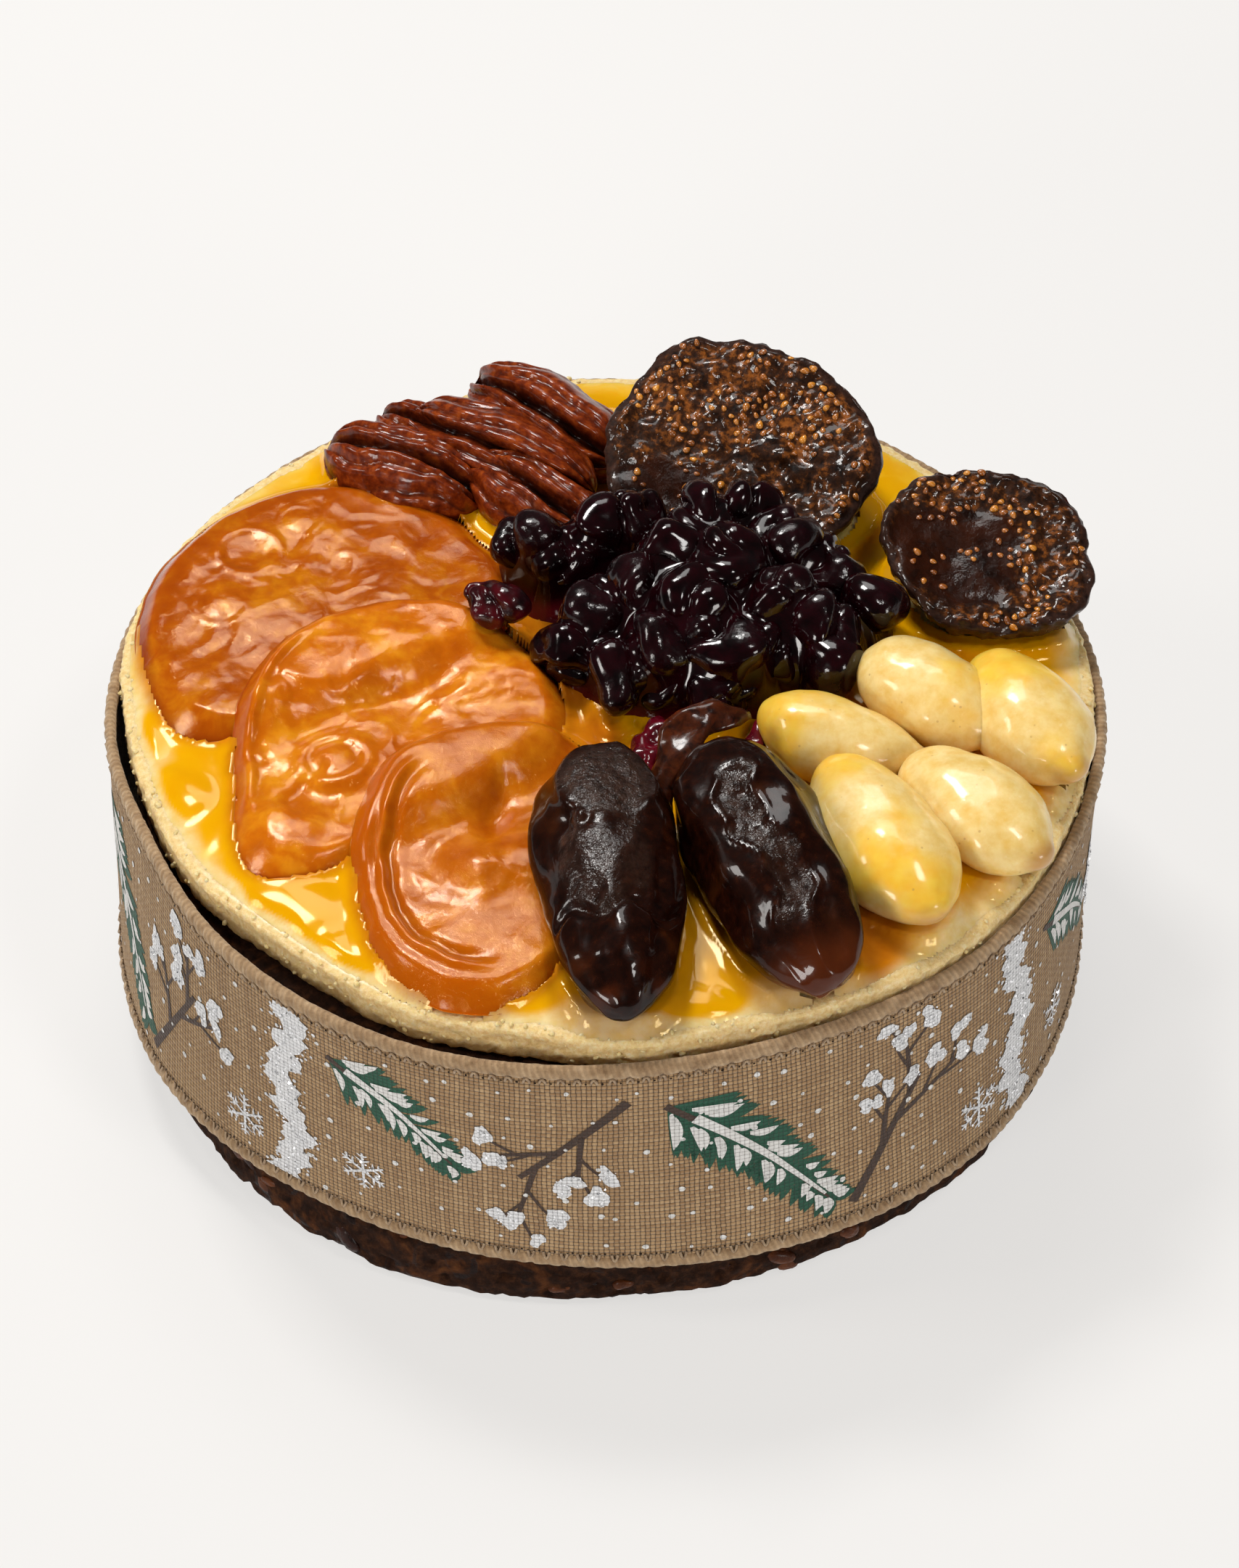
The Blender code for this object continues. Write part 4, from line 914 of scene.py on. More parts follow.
def plain(name, color, rough):
    s = Shade(name)
    s.set(Base_Color=s.ramp(s.noise(0.5, 3), (0.3, tuple(0.7 * c for c in color)), (0.7, color)), Roughness=rough, Specular_IOR_Level=0.2)
    return s.mat


hole_shadow = plain("stitch_hole_shade", (0.022, 0.012, 0.006), 0.9)


class Print:
    """Ink laid on the ribbon: flat leaf, stem and dab shapes in strip coordinates."""

    def __init__(self, lift):
        self.lot, self.lift = Lot(), lift

    def put(self, u, v, quads=None, tris=None):
        co = strip_point(u, v, self.lift)
        self.lot.add(co, quads, tris, None, {"strip": np.stack([u, v, np.zeros_like(u)], -1)})

    def blade(self, u0, v0, u1, v1, wide, bow=0.0, blunt=0.0):
        """A tapering leaf or stem from one point to another."""
        n = max(3, int(math.hypot(u1 - u0, v1 - v0) / 0.5) + 2)
        s = np.linspace(0, 1, n)
        du, dv = u1 - u0, v1 - v0
        length = max(1e-6, math.hypot(du, dv))
        pu, pv = -dv / length, du / length
        cu, cv = u0 + du * s + pu * bow * np.sin(np.pi * s), v0 + dv * s + pv * bow * np.sin(np.pi * s)
        w = wide * 0.5 * (np.sin(np.pi * (0.12 + 0.88 * s)) ** 0.8 * (1 - blunt) + blunt * (1 - 0.75 * s))
        cols = np.array([-1.0, -0.33, 0.33, 1.0])
        U = cu[:, None] + pu * w[:, None] * cols
        V = cv[:, None] + pv * w[:, None] * cols
        self.put(U.ravel(), V.ravel(), sweep(n, 4, wrap=False))

    def stem(self, points, w0, w1):
        points = np.array(points, float)
        along = np.concatenate([[0], np.cumsum(np.hypot(*np.diff(points, axis=0).T))])
        n = max(4, int(along[-1] / 0.5) + 2)
        at = np.linspace(0, along[-1], n)
        # a smooth curve through the points
        k = np.arange(len(points))
        s = np.interp(at, along, k)
        i = np.clip(s.astype(int), 0, len(points) - 2)
        f = (s - i)[:, None]
        p0, p1, p2, p3 = points[np.clip(i - 1, 0, None)], points[i], points[i + 1], points[np.clip(i + 2, None, len(points) - 1)]
        line = 0.5 * (2 * p1 + (p2 - p0) * f + (2 * p0 - 5 * p1 + 4 * p2 - p3) * f**2 + (3 * p1 - p0 - 3 * p2 + p3) * f**3)
        t = np.gradient(line, axis=0)
        t /= np.maximum(np.hypot(t[:, 0], t[:, 1]), 1e-9)[:, None]
        side = np.stack([-t[:, 1], t[:, 0]], 1)
        w = (w0 + (w1 - w0) * at / along[-1]) * 0.5
        cols = np.array([-1.0, 0.0, 1.0])
        U = line[:, 0:1] + side[:, 0:1] * w[:, None] * cols
        V = line[:, 1:2] + side[:, 1:2] * w[:, None] * cols
        self.put(U.ravel(), V.ravel(), sweep(n, 3, wrap=False))
        return line

    def dab(self, u, v, ru, rv, rng, ragged=0.22, turn=0.0):
        """An uneven blot."""
        sides = 14 if max(ru, rv) > 0.4 else 8
        th = np.linspace(0, 2 * np.pi, sides, endpoint=False)
        wave = 1 + ragged * (0.6 * np.sin(2 * th + rng.uniform(0, 6)) + 0.5 * np.sin(3 * th + rng.uniform(0, 6)) + 0.35 * np.sin(5 * th + rng.uniform(0, 6)))
        c, s = math.cos(turn), math.sin(turn)
        us, vs, quads = [], [], []
        for share in (1.0, 0.5):
            x, y = ru * share * wave * np.cos(th), rv * share * wave * np.sin(th)
            us.append(u + c * x - s * y)
            vs.append(v + s * x + c * y)
        us.append([u])
        vs.append([v])
        self.put(np.concatenate(us), np.concatenate(vs), sweep(2, sides), fan(sides + np.arange(sides), 2 * sides))


def ribbon_prints():
    """A plain winter pattern of fir sprigs, bare twigs with snow, a ragged glitter band, ice stars and dots."""
    green, white, brown, shine = Print(0.05), Print(0.085), Print(0.065), Print(0.10)
    rng = np.random.default_rng(29)
    low, high = HEM_TALL + 0.6, RIBBON_TOP - RIBBON_BOTTOM - HEM_TALL - 0.6
    glints = []

    def inside(v):
        return low < v < high

    def fir(u0, v0, u1, v1, size=1.0):
        line = brown.stem([(u0, v0), ((u0 + u1) / 2 + 0.8, (v0 + v1) / 2 + 0.8), (u1, v1)], 0.55 * size, 0.25)
        n = len(line)
        t = np.gradient(line, axis=0)
        for k in range(2, n, 1):
            s = k / n
            heading = math.atan2(t[k, 1], t[k, 0])
            long = (4.6 - 2.6 * s) * size
            for side in (-1, 1):
                if rng.random() < 0.12:
                    continue
                a = heading + side * (0.75 + rng.uniform(-0.12, 0.12))
                eu, ev = line[k, 0] + long * math.cos(a), line[k, 1] + long * math.sin(a)
                if not (inside(ev) and inside(line[k, 1])):
                    continue
                green.blade(line[k, 0], line[k, 1], eu, ev, 0.85 * size, bow=side * -0.35)
                if rng.random() < 0.42:
                    f0, f1 = rng.uniform(0.15, 0.35), rng.uniform(0.65, 0.9)
                    white.blade(line[k, 0] + (eu - line[k, 0]) * f0, line[k, 1] + (ev - line[k, 1]) * f0 + 0.25, line[k, 0] + (eu - line[k, 0]) * f1, line[k, 1] + (ev - line[k, 1]) * f1 + 0.25, 0.62 * size, bow=side * -0.3)
        white.stem([(line[k, 0], line[k, 1] + 0.2) for k in range(int(n * 0.2), n, max(1, n // 5))], 0.8 * size, 0.3)

    def twig(u0, v0, heading, long, width, depth, snow=True):
        if depth < 0 or long < 1.3:
            return
        bend = rng.uniform(-0.25, 0.25)
        pts = [(u0, v0)]
        for k in range(1, 5):
            a = heading + bend * k / 4
            pts.append((pts[-1][0] + long / 4 * math.cos(a), pts[-1][1] + long / 4 * math.sin(a)))
        pts = [p for p in pts if inside(p[1])]
        if len(pts) < 3:
            return
        line = brown.stem(pts, width, width * 0.55)
        tip = line[-1]
        for side, share in ((1, 0.45), (-1, 0.65), (1, 0.85)):
            k = int(share * (len(line) - 1))
            twig(line[k, 0], line[k, 1], heading + side * rng.uniform(0.45, 0.75), long * rng.uniform(0.42, 0.6), width * 0.6, depth - 1, snow)
        if snow and depth <= 1:
            for _ in range(2 if depth == 0 else 1):
                uu, vv = tip[0] + rng.uniform(-0.7, 0.7), tip[1] + rng.uniform(-0.4, 0.8)
                ru, rv = rng.uniform(0.55, 1.15), rng.uniform(0.8, 1.6)
                if inside(vv + rv) and inside(vv - rv):
                    shine.dab(uu, vv, ru, rv, rng, 0.3, rng.uniform(-0.6, 0.6))
                    glints.append((uu, vv, ru, rv))

    def star(u, v, size):
        for k in range(6):
            a = math.pi / 6 + k * math.pi / 3
            eu, ev = u + size * math.cos(a), v + size * math.sin(a)
            shine.stem([(u, v), ((u + eu) / 2, (v + ev) / 2), (eu, ev)], 0.34, 0.24)
            for f, arm in ((0.5, 0.38), (0.78, 0.26)):
                for side in (-1, 1):
                    bu, bv = u + size * f * math.cos(a), v + size * f * math.sin(a)
                    shine.blade(bu, bv, bu + size * arm * math.cos(a + side * 1.05), bv + size * arm * math.sin(a + side * 1.05), 0.32, blunt=0.6)
        glints.append((u, v, size * 0.8, size * 0.8))

    def band(u, width):
        vs = np.linspace(low - 0.4, high + 0.4, 44)
        mid = u + 0.9 * np.sin(vs * 0.42 + u) + 0.35 * np.sin(vs * 1.3 + 2 * u)
        half = width / 2 * (1 + 0.28 * np.sin(vs * 1.9 + u) + 0.18 * np.sin(vs * 4.3))
        cols = np.array([-1.0, -0.5, 0.0, 0.5, 1.0])
        U, V = mid[:, None] + half[:, None] * cols, np.repeat(vs[:, None], 5, 1)
        shine.put(U.ravel(), V.ravel(), sweep(44, 5, wrap=False))
        for v in vs[::2]:
            glints.append((float(np.interp(v, vs, mid)), float(v), width * 0.55, 0.7))
        for _ in range(60):
            v = rng.uniform(low, high)
            side = rng.choice((-1, 1))
            uu = float(np.interp(v, vs, mid)) + side * (width / 2 + abs(rng.normal(0, 0.7)))
            r = rng.uniform(0.10, 0.24)
            shine.dab(uu, v, r, r, rng, 0.15)

    repeat = 78.6
    turns_of = int(round(RIBBON_LENGTH / repeat))
    start = 0.0
    for k in range(turns_of + 1):
        u = start + k * repeat + 4
        if u > RIBBON_LENGTH - 4:
            break
        motifs = (
            lambda u=u: fir(u + 1, 22.5, u + 17, 5.5, 1.5),
            lambda u=u: twig(u + 19.5, 3.6, 1.05, 15.5, 1.1, 2),
            lambda u=u: star(u + 35.0, 6.8, 2.8),
            lambda u=u: band(u + 41.0, 3.4),
            lambda u=u: fir(u + 46, 22.5, u + 59.0, 13.0, 1.3),
            lambda u=u: twig(u + 76.0, 23.5, -2.35, 15.0, 1.05, 2),
            lambda u=u: star(u + 49.5, 8.0, 2.6),
        )
        for motif in motifs:
            motif()
    # snow dots on a jittered lattice
    spots = []
    for i in range(int(RIBBON_LENGTH / 3.6)):
        for j in range(7):
            u = (i + 0.5 + rng.uniform(-0.32, 0.32)) * 3.6 + (j % 2) * 1.8
            v = low + 0.9 + j * 3.5 + rng.uniform(-0.9, 0.9)
            if u < RIBBON_LENGTH - 1 and inside(v + 0.3) and inside(v - 0.3):
                spots.append((u, v))
                r = rng.choice((0.20, 0.26, 0.34))
                white.dab(u, v, r, r, rng, 0.12)
    pieces = [
        green.lot.build("print_green_ink", ink_green, "linen_ribbon"),
        white.lot.build("print_white_ink", ink_white, "linen_ribbon"),
        brown.lot.build("print_brown_ink", ink_brown, "linen_ribbon"),
        shine.lot.build("print_glitter_ink", ink_glitter, "linen_ribbon"),
    ]
    flakes = Lot()
    for u, v, ru, rv in glints:
        for _ in range(int(3 + 9 * ru * rv)):
            a, d = rng.uniform(0, 2 * np.pi), math.sqrt(rng.random())
            uu, vv = u + ru * d * math.cos(a), v + rv * d * math.sin(a)
            if not inside(vv) or uu > RIBBON_LENGTH - 0.3:
                continue
            at = strip_point(np.array([uu]), np.array([vv]), 0.16)[0]
            n = np.array((at[0], at[1], 0)) / np.hypot(at[0], at[1]) + rng.normal(0, 0.38, 3)
            n /= np.linalg.norm(n)
            e = np.cross(n, (0, 0, 1.0))
            e /= np.linalg.norm(e)
            f = np.cross(n, e)
            r = rng.uniform(0.07, 0.15)
            th = np.linspace(0, 2 * np.pi, 6, endpoint=False)
            flakes.add(at + r * (np.cos(th)[:, None] * e + np.sin(th)[:, None] * f), np.array([(0, 1, 2, 3), (0, 3, 4, 5)]), None)
    pieces.append(flakes.build("print_glitter_flakes", flake, "linen_ribbon"))
    return pieces


# ---------------------------------------------------------------- what lies under a spot


class Ground:
    """Heights on a square grid, looked down on from above."""

    def __init__(self, pitch=0.3, half=51.0):
        self.pitch, self.half = pitch, half
        self.n = int(2 * half / pitch) + 1
        self.axis = -half + pitch * np.arange(self.n)
        self.z = np.full((self.n, self.n), MARZIPAN_TOP)

    def copy(self):
        other = Ground(self.pitch, self.half)
        other.z = self.z.copy()
        return other

    def look(self, tree, low, high):
        """Raises the grid to what the tree's surface reaches between the corners low and high."""
        i0, i1 = (int(np.clip((c[0] + self.half) / self.pitch, 0, self.n - 1)) for c in (low, high))
        j0, j1 = (int(np.clip((c[1] + self.half) / self.pitch, 0, self.n - 1)) for c in (low, high))
        down = Vector((0, 0, -1))
        for i in range(i0, i1 + 2):
            for j in range(j0, j1 + 2):
                if i >= self.n or j >= self.n:
                    continue
                hit = tree.ray_cast(Vector((self.axis[i], self.axis[j], 90.0)), down)[0]
                if hit is not None and hit.z > self.z[i, j]:
                    self.z[i, j] = hit.z

    def at(self, x, y):
        gx = np.clip((np.asarray(x) + self.half) / self.pitch, 0, self.n - 1.001)
        gy = np.clip((np.asarray(y) + self.half) / self.pitch, 0, self.n - 1.001)
        i, j = gx.astype(int), gy.astype(int)
        fx, fy = gx - i, gy - j
        z = self.z
        return z[i, j] * (1 - fx) * (1 - fy) + z[i + 1, j] * fx * (1 - fy) + z[i, j + 1] * (1 - fx) * fy + z[i + 1, j + 1] * fx * fy

    def spread(self, reach):
        """The highest of all within reach."""
        other = self.copy()
        for _ in range(max(1, int(round(reach / self.pitch)))):
            z = other.z
            for axis in (0, 1):
                z = np.maximum(z, np.maximum(np.roll(z, 1, axis), np.roll(z, -1, axis)))
            other.z = z
        return other

    def soft(self, reach):
        other = self.copy()
        other.z = blurred(other.z, int(round((reach / self.pitch) ** 2 / 1.2)) + 1)
        return other


def blurred(z, times):
    for _ in range(times):
        z = (2 * z + np.roll(z, 1, 0) + np.roll(z, -1, 0)) / 4
        z = (2 * z + np.roll(z, 1, 1) + np.roll(z, -1, 1)) / 4
    return z


ground = Ground()  # the marzipan and the slices
above = Ground()  # everything else that stands on them


# ---------------------------------------------------------------- candied slices


def slice_piece(name, middle, reach, crown, mat, slot, node, seed, steps=250, rings=72, ragged=0.012):
    table = turns(reach)
    share = 1 - (1 - np.linspace(0, 1, rings)) ** 1.35
    share[0] = 0.004
    deg = -180 + 360 * np.arange(steps) / steps
    S, A = np.meshgrid(share, deg, indexing="ij")
    rad = np.radians(A)
    outline = around(table, deg)
    flat = np.stack([np.cos(np.radians(deg)) * 9, np.sin(np.radians(deg)) * 9, np.zeros(steps)], 1)
    outline = outline * (1 + ragged * lumps(flat, 2.2, seed, 2))
    R = outline[None, :] * S
    X, Y = middle[0] + R * np.cos(rad), middle[1] + R * np.sin(rad)
    bed = ground.spread(1.2).soft(2.2)
    lie = bed.at(X, Y)
    thick = crown(S, A, X, Y)
    lip = np.clip((S - 0.86) / 0.14, 0, 1)
    top = lie + thick * np.clip(1 - lip**2.4, 0, 1) ** 0.6
    top = np.where(S > 0.995, ground.at(X, Y) + 0.25 + 0.15, np.maximum(top, ground.at(X, Y) + 0.35))
    co = [np.stack([X, Y, top], -1).reshape(-1, 3)]
    under = []
    for s in (0.97, 0.8, 0.55, 0.25):
        r = outline * s
        x, y = middle[0] + r * np.cos(np.radians(deg)), middle[1] + r * np.sin(np.radians(deg))
        z = np.minimum(ground.at(x, y) + 0.02, bed.at(x, y))
        under.append(np.stack([x, y, z], -1))
    co += under
    co = np.concatenate(co)
    rows = rings + len(under)
    quads = sweep(rows, steps)
    n = len(co)
    zc = float(top[0].mean())
    co = np.concatenate([co, [(middle[0], middle[1], zc), (middle[0], middle[1], float(ground.at(*middle)))]])
    tris = np.concatenate([fan(np.arange(steps), n, True), fan((rows - 1) * steps + np.arange(steps), n + 1)])
    quads, tris = outward(co, quads, tris)
    rim = np.concatenate([crown.rim(S, A, X, Y).ravel(), np.repeat(crown.rim(np.ones((len(under), steps)), np.tile(deg, (len(under), 1)), 0, 0).ravel(), 1), [0, 0]])
    # painted shade: low is darker in the furrow beside the rind, and along the outer edge
    low = np.concatenate([np.clip(crown.deep(S, A, X, Y), 0, 1).ravel(), np.ones(len(under) * steps), [0, 1]])
    build(name, co, quads, tris, mat, slot, (node,), {"rim": np.clip(rim, 0, 1), "low": low})
    ground.look(tree_of(co, quads, tris), co.min(0), co.max(0))


class Crown:
    """Thickness of a candied slice: rind round part of its edge, a furrow, then wrinkled flesh."""

    def __init__(self, rim_thick, body, groove, lip_from, lip_to, lip, seed, lip_at=0.76, wave=1.0, features=(), rind=0.8):
        self.__dict__.update(locals())

    def on(self, A):
        w = step(self.lip_from - 22, self.lip_from, A) * (1 - step(self.lip_to, self.lip_to + 22, A))
        if self.lip_from < -180:
            w = np.maximum(w, step(self.lip_from + 338, self.lip_from + 360, A))
        if self.lip_to > 180:
            w = np.maximum(w, 1 - step(self.lip_to - 360, self.lip_to - 338, A))
        return w

    def place(self, S, A, X, Y):
        bend = np.stack([np.broadcast_to(np.cos(np.radians(A)) * 12, S.shape), np.broadcast_to(np.sin(np.radians(A)) * 12, S.shape), np.full(S.shape, 0.0)], -1).reshape(-1, 3)
        return self.lip_at + 0.035 * lumps(bend, 5.5, self.seed + 70).reshape(S.shape)

    def __call__(self, S, A, X, Y):
        p = np.stack([X, Y, np.zeros_like(X)], -1).reshape(-1, 3)
        on, at = self.on(A), self.place(S, A, X, Y)
        edge = step(1.02, 0.84, S)
        h = self.rim_thick + (self.body - self.rim_thick) * edge
        flesh = step(at + 0.03, at - 0.10, S)
        h = h - self.groove * on * np.exp(-(((S - at + 0.05) / 0.04) ** 2))
        h = h + self.lip * on * np.exp(-(((S - at - 0.02) / 0.035) ** 2))
        q = p + 1.6 * np.stack([lumps(p, 6.0, self.seed + 61), lumps(p, 6.0, self.seed + 62), np.zeros(len(p))], -1)
        wide = lumps(q, 8.0, self.seed, 1).reshape(S.shape)
        mid = lumps(q, 3.6, self.seed + 5, 1).reshape(S.shape)
        long = (folds(q, 5.2, self.seed + 3, 1) - 0.5).reshape(S.shape)
        tight = (folds(q, 2.3, self.seed + 9, 1) - 0.5).reshape(S.shape)
        spare = np.clip(1.0 - 0.6 * on * step(at - 0.02, at + 0.04, S), 0.2, 1)
        h = h + self.wave * spare * edge * (0.38 * wide + 0.17 * mid + 0.18 * long + 0.08 * tight * flesh)
        for kind, x, y, size, tall in self.features:
            d = np.hypot(X - x, Y - y) / size
            if kind == "dome":
                h = h + tall * np.clip(1 - d**2, 0, 1) ** 1.2 + 0.25 * tall * np.exp(-(((d - 1.05) / 0.16) ** 2))
            elif kind == "dimple":
                h = h - tall * np.exp(-(d**2))
            elif kind == "ring":
                h = h + tall * np.exp(-(((d - 1.0) / 0.22) ** 2))
        return h

    def rim(self, S, A, X, Y):
        at = self.place(S, A, X, Y) if not np.isscalar(X) else self.lip_at
        thin = step(0.93, 1.0, S)
        return np.maximum(thin, self.rind * self.on(A) * step(at, at + 0.06, S))

    def deep(self, S, A, X, Y):
        # where the slice is painted darker: shade in the furrow beside the rind, and a band along the outer edge
        at = self.place(S, A, X, Y)
        return self.on(A) * np.exp(-(((S - at + 0.05) / 0.06) ** 2)) * 0.8 + 0.5 * step(0.92, 1.0, S)


def groove(cx, cy, heading, long, wide, tall):
    """A straight furrow for a slice's flesh, as one more feature of its crown."""
    return ("groove", cx, cy, (heading, long, wide), tall)


class GroovedCrown(Crown):
    def __init__(self, *args, grooves=(), **settings):
        super().__init__(*args, **settings)
        self.grooves = grooves

    def __call__(self, S, A, X, Y):
        h = super().__call__(S, A, X, Y)
        for _, cx, cy, (heading, long, wide), tall in self.grooves:
            c, s = math.cos(math.radians(heading)), math.sin(math.radians(heading))
            along, over = (X - cx) * c + (Y - cy) * s, -(X - cx) * s + (Y - cy) * c
            h = h - tall * np.exp(-((over / wide) ** 2)) * step(long, long * 0.45, np.abs(along))
        return h


def slices():
    slice_piece("candied_slice_back", (-28.0, 14.0), (19.8, 18.4, 18.3, 17.8, 17.2, 17.6, 18.8, 21.0, 23.6, 16.2, 15.4, 16.8),
        GroovedCrown(1.1, 2.4, 0.15, 100, 200, 0.12, 1, lip_at=0.90, wave=0.8, rind=0.9,
            features=(("dome", -38.5, 12.0, 2.6, 0.35), ("ring", -36.0, 20.0, 3.2, 0.2), ("dome", -31.0, 24.5, 2.0, 0.3), ("dimple", -26.0, 12.0, 5.0, 0.4))),
        slice_back, "slice_back", "slice_1", 81)
    slice_piece("candied_slice_middle", (-21.0, -4.4), (17.8, 17.6, 17.0, 16.4, 15.6, 15.2, 15.6, 18.2, 24.0, 16.4, 14.6, 15.6),
        GroovedCrown(1.1, 2.5, 0.2, -215, -150, 0.2, 2, lip_at=0.87, wave=1.0, rind=0.5,
            features=(("dome", -26.5, -10.5, 2.7, 0.5), ("ring", -26.5, -10.5, 3.4, 0.3), ("dimple", -20.0, -1.5, 4.0, 0.4), ("dome", -31.5, -17.5, 1.8, 0.4), ("dome", -33.0, -3.0, 1.8, 0.35)),
            grooves=(groove(-29.5, -14.0, 55, 5, 0.9, 0.35), groove(-24, -3.0, 20, 6, 1.2, 0.3), groove(-9.6, 0.9, -4, 7, 3.4, -0.75), groove(-30.5, -19.4, 0, 4, 2.2, -0.42))),
        slice_middle, "slice_middle", "slice_2", 82)
    slice_piece("candied_slice_front", (-12.0, -24.5), (12.0, 18.8, 19.6, 18.0, 16.6, 13.8, 12.6, 13.6, 16.4, 18.2, 15.6, 11.4),
        GroovedCrown(1.4, 2.7, 0.42, -225, -100, 0.42, 3, lip_at=0.74, wave=0.6, rind=0.9,
            features=(("dome", -13.5, -25.5, 4.2, 0.4), ("dome", -7.0, -24.0, 3.6, 0.45), ("dimple", -11.0, -19.0, 1.5, 0.5)),
            grooves=(groove(-10.2, -18.0, 80, 6, 1.2, 0.45), groove(-8.2, -25.6, 8, 8, 4.6, -1.0))),
        slice_front, "slice_front", "slice_3", 83)


# ---------------------------------------------------------------- nuts and dates


def laid(name, co, quads, tris, at, heading, mat, slot, node, tilt=0.0, roll=0.0, sink=0.0, marks=None, floor=MARZIPAN_TOP, z=None, press=True):
    co = co @ turned(heading, tilt, roll).T
    drop = z if z is not None else floor + GAP - co[:, 2].min() - sink
    co = co + (at[0], at[1], drop)
    if press:
        co[:, 2] = settle(co[:, 2], 0.35, floor)
    marks = marks or {}
    # painted shade: darker in the lowest 1.5 mm, where the piece sits on the marzipan; the almond shader reads it
    if "low" not in marks:
        marks["low"] = step(1.5, 0.2, co[:, 2] - MARZIPAN_TOP) * 0.8
    build(name, co, quads, tris, mat, slot, (node,) if isinstance(node, str) else node, marks)
    tree = tree_of(co, quads, tris)
    above.look(tree, co.min(0), co.max(0))
    return co, quads, tris, tree


def almond(name, at, heading, size, taper, bend, tilt, seed):
    long, wide, tall = size
    p, quads, tris = ball(72, 54)
    t = p[:, 0]
    ring = np.sqrt(np.maximum(1e-9, 1 - t * t))
    want = np.where(np.abs(t) < 1, np.maximum(1 - np.abs(t) ** 2.5, 0) ** 0.52, 0) * (1 - taper * t - 0.06 * step(0.45, 1.0, t))
    k = np.where(ring > 1e-4, want / ring, 0)
    puff = 1 + 0.05 * lumps(p, 0.9, seed)
    nub = np.exp(-(((1 - t) / 0.05) ** 2)) * 0.9
    tip = np.exp(-(((1 + t) / 0.05) ** 2)) * 0.15
    co = np.stack([t * long / 2 + 0.25 * step(0.9, 1.0, t) + nub * 0.45 - tip, p[:, 1] * k * wide / 2 * puff + bend * (t * t - 0.3), p[:, 2] * k * tall / 2 * puff], -1)
    seam = 0.12 * np.exp(-((np.arctan2(p[:, 2], p[:, 1]) - 0.35) / 0.10) ** 2) * (1 - t**4)
    nrm = normals_of(co, quads, tris)
    dents = 0.34 * lumps(co, 6.5, seed + 3) + 0.11 * lumps(co, 2.6, seed + 4) + 0.02 * lumps(co, 0.9, seed + 5)
    pits = -0.10 * step(0.22, 0.05, cells(co, 3.0, seed + 9)[0])
    co = co + nrm * (dents + pits + seam)[:, None]
    world = co @ turned(heading, tilt, 0).T
    # glaze that ran over part of the nut
    gl = lumps(world, 8.5, seed * 3 + 1) * 0.55 + lumps(world, 3.4, seed * 3 + 2) * 0.10
    bias = {1: -0.10, 2: 0.14, 3: 0.16, 4: -0.24, 5: 0.10}[seed]
    lean = {1: (0, 0), 2: (-0.5, 0.6), 3: (-0.2, 0.5), 4: (0.2, -0.2), 5: (0.1, 0.7)}[seed]
    reach = (world[:, 0] * lean[0] + world[:, 1] * lean[1]) / (long / 2)
    glazed = np.clip(0.45 + gl + bias + 0.35 * reach, 0, 1) * step(-0.6, 0.6, world[:, 2] / (tall / 2) + 0.5)
    thick = step(0.40, 0.75, glazed) * 0.12
    co = co + nrm * thick[:, None]
    laid(name, co, quads, tris, at, heading, almond_skin, "almond", name, tilt=tilt, sink=0.5, marks={"glaze": glazed, "nub": step(0.90, 0.985, t) * 0.85 + step(-0.985, -0.998, t) * 0.5})


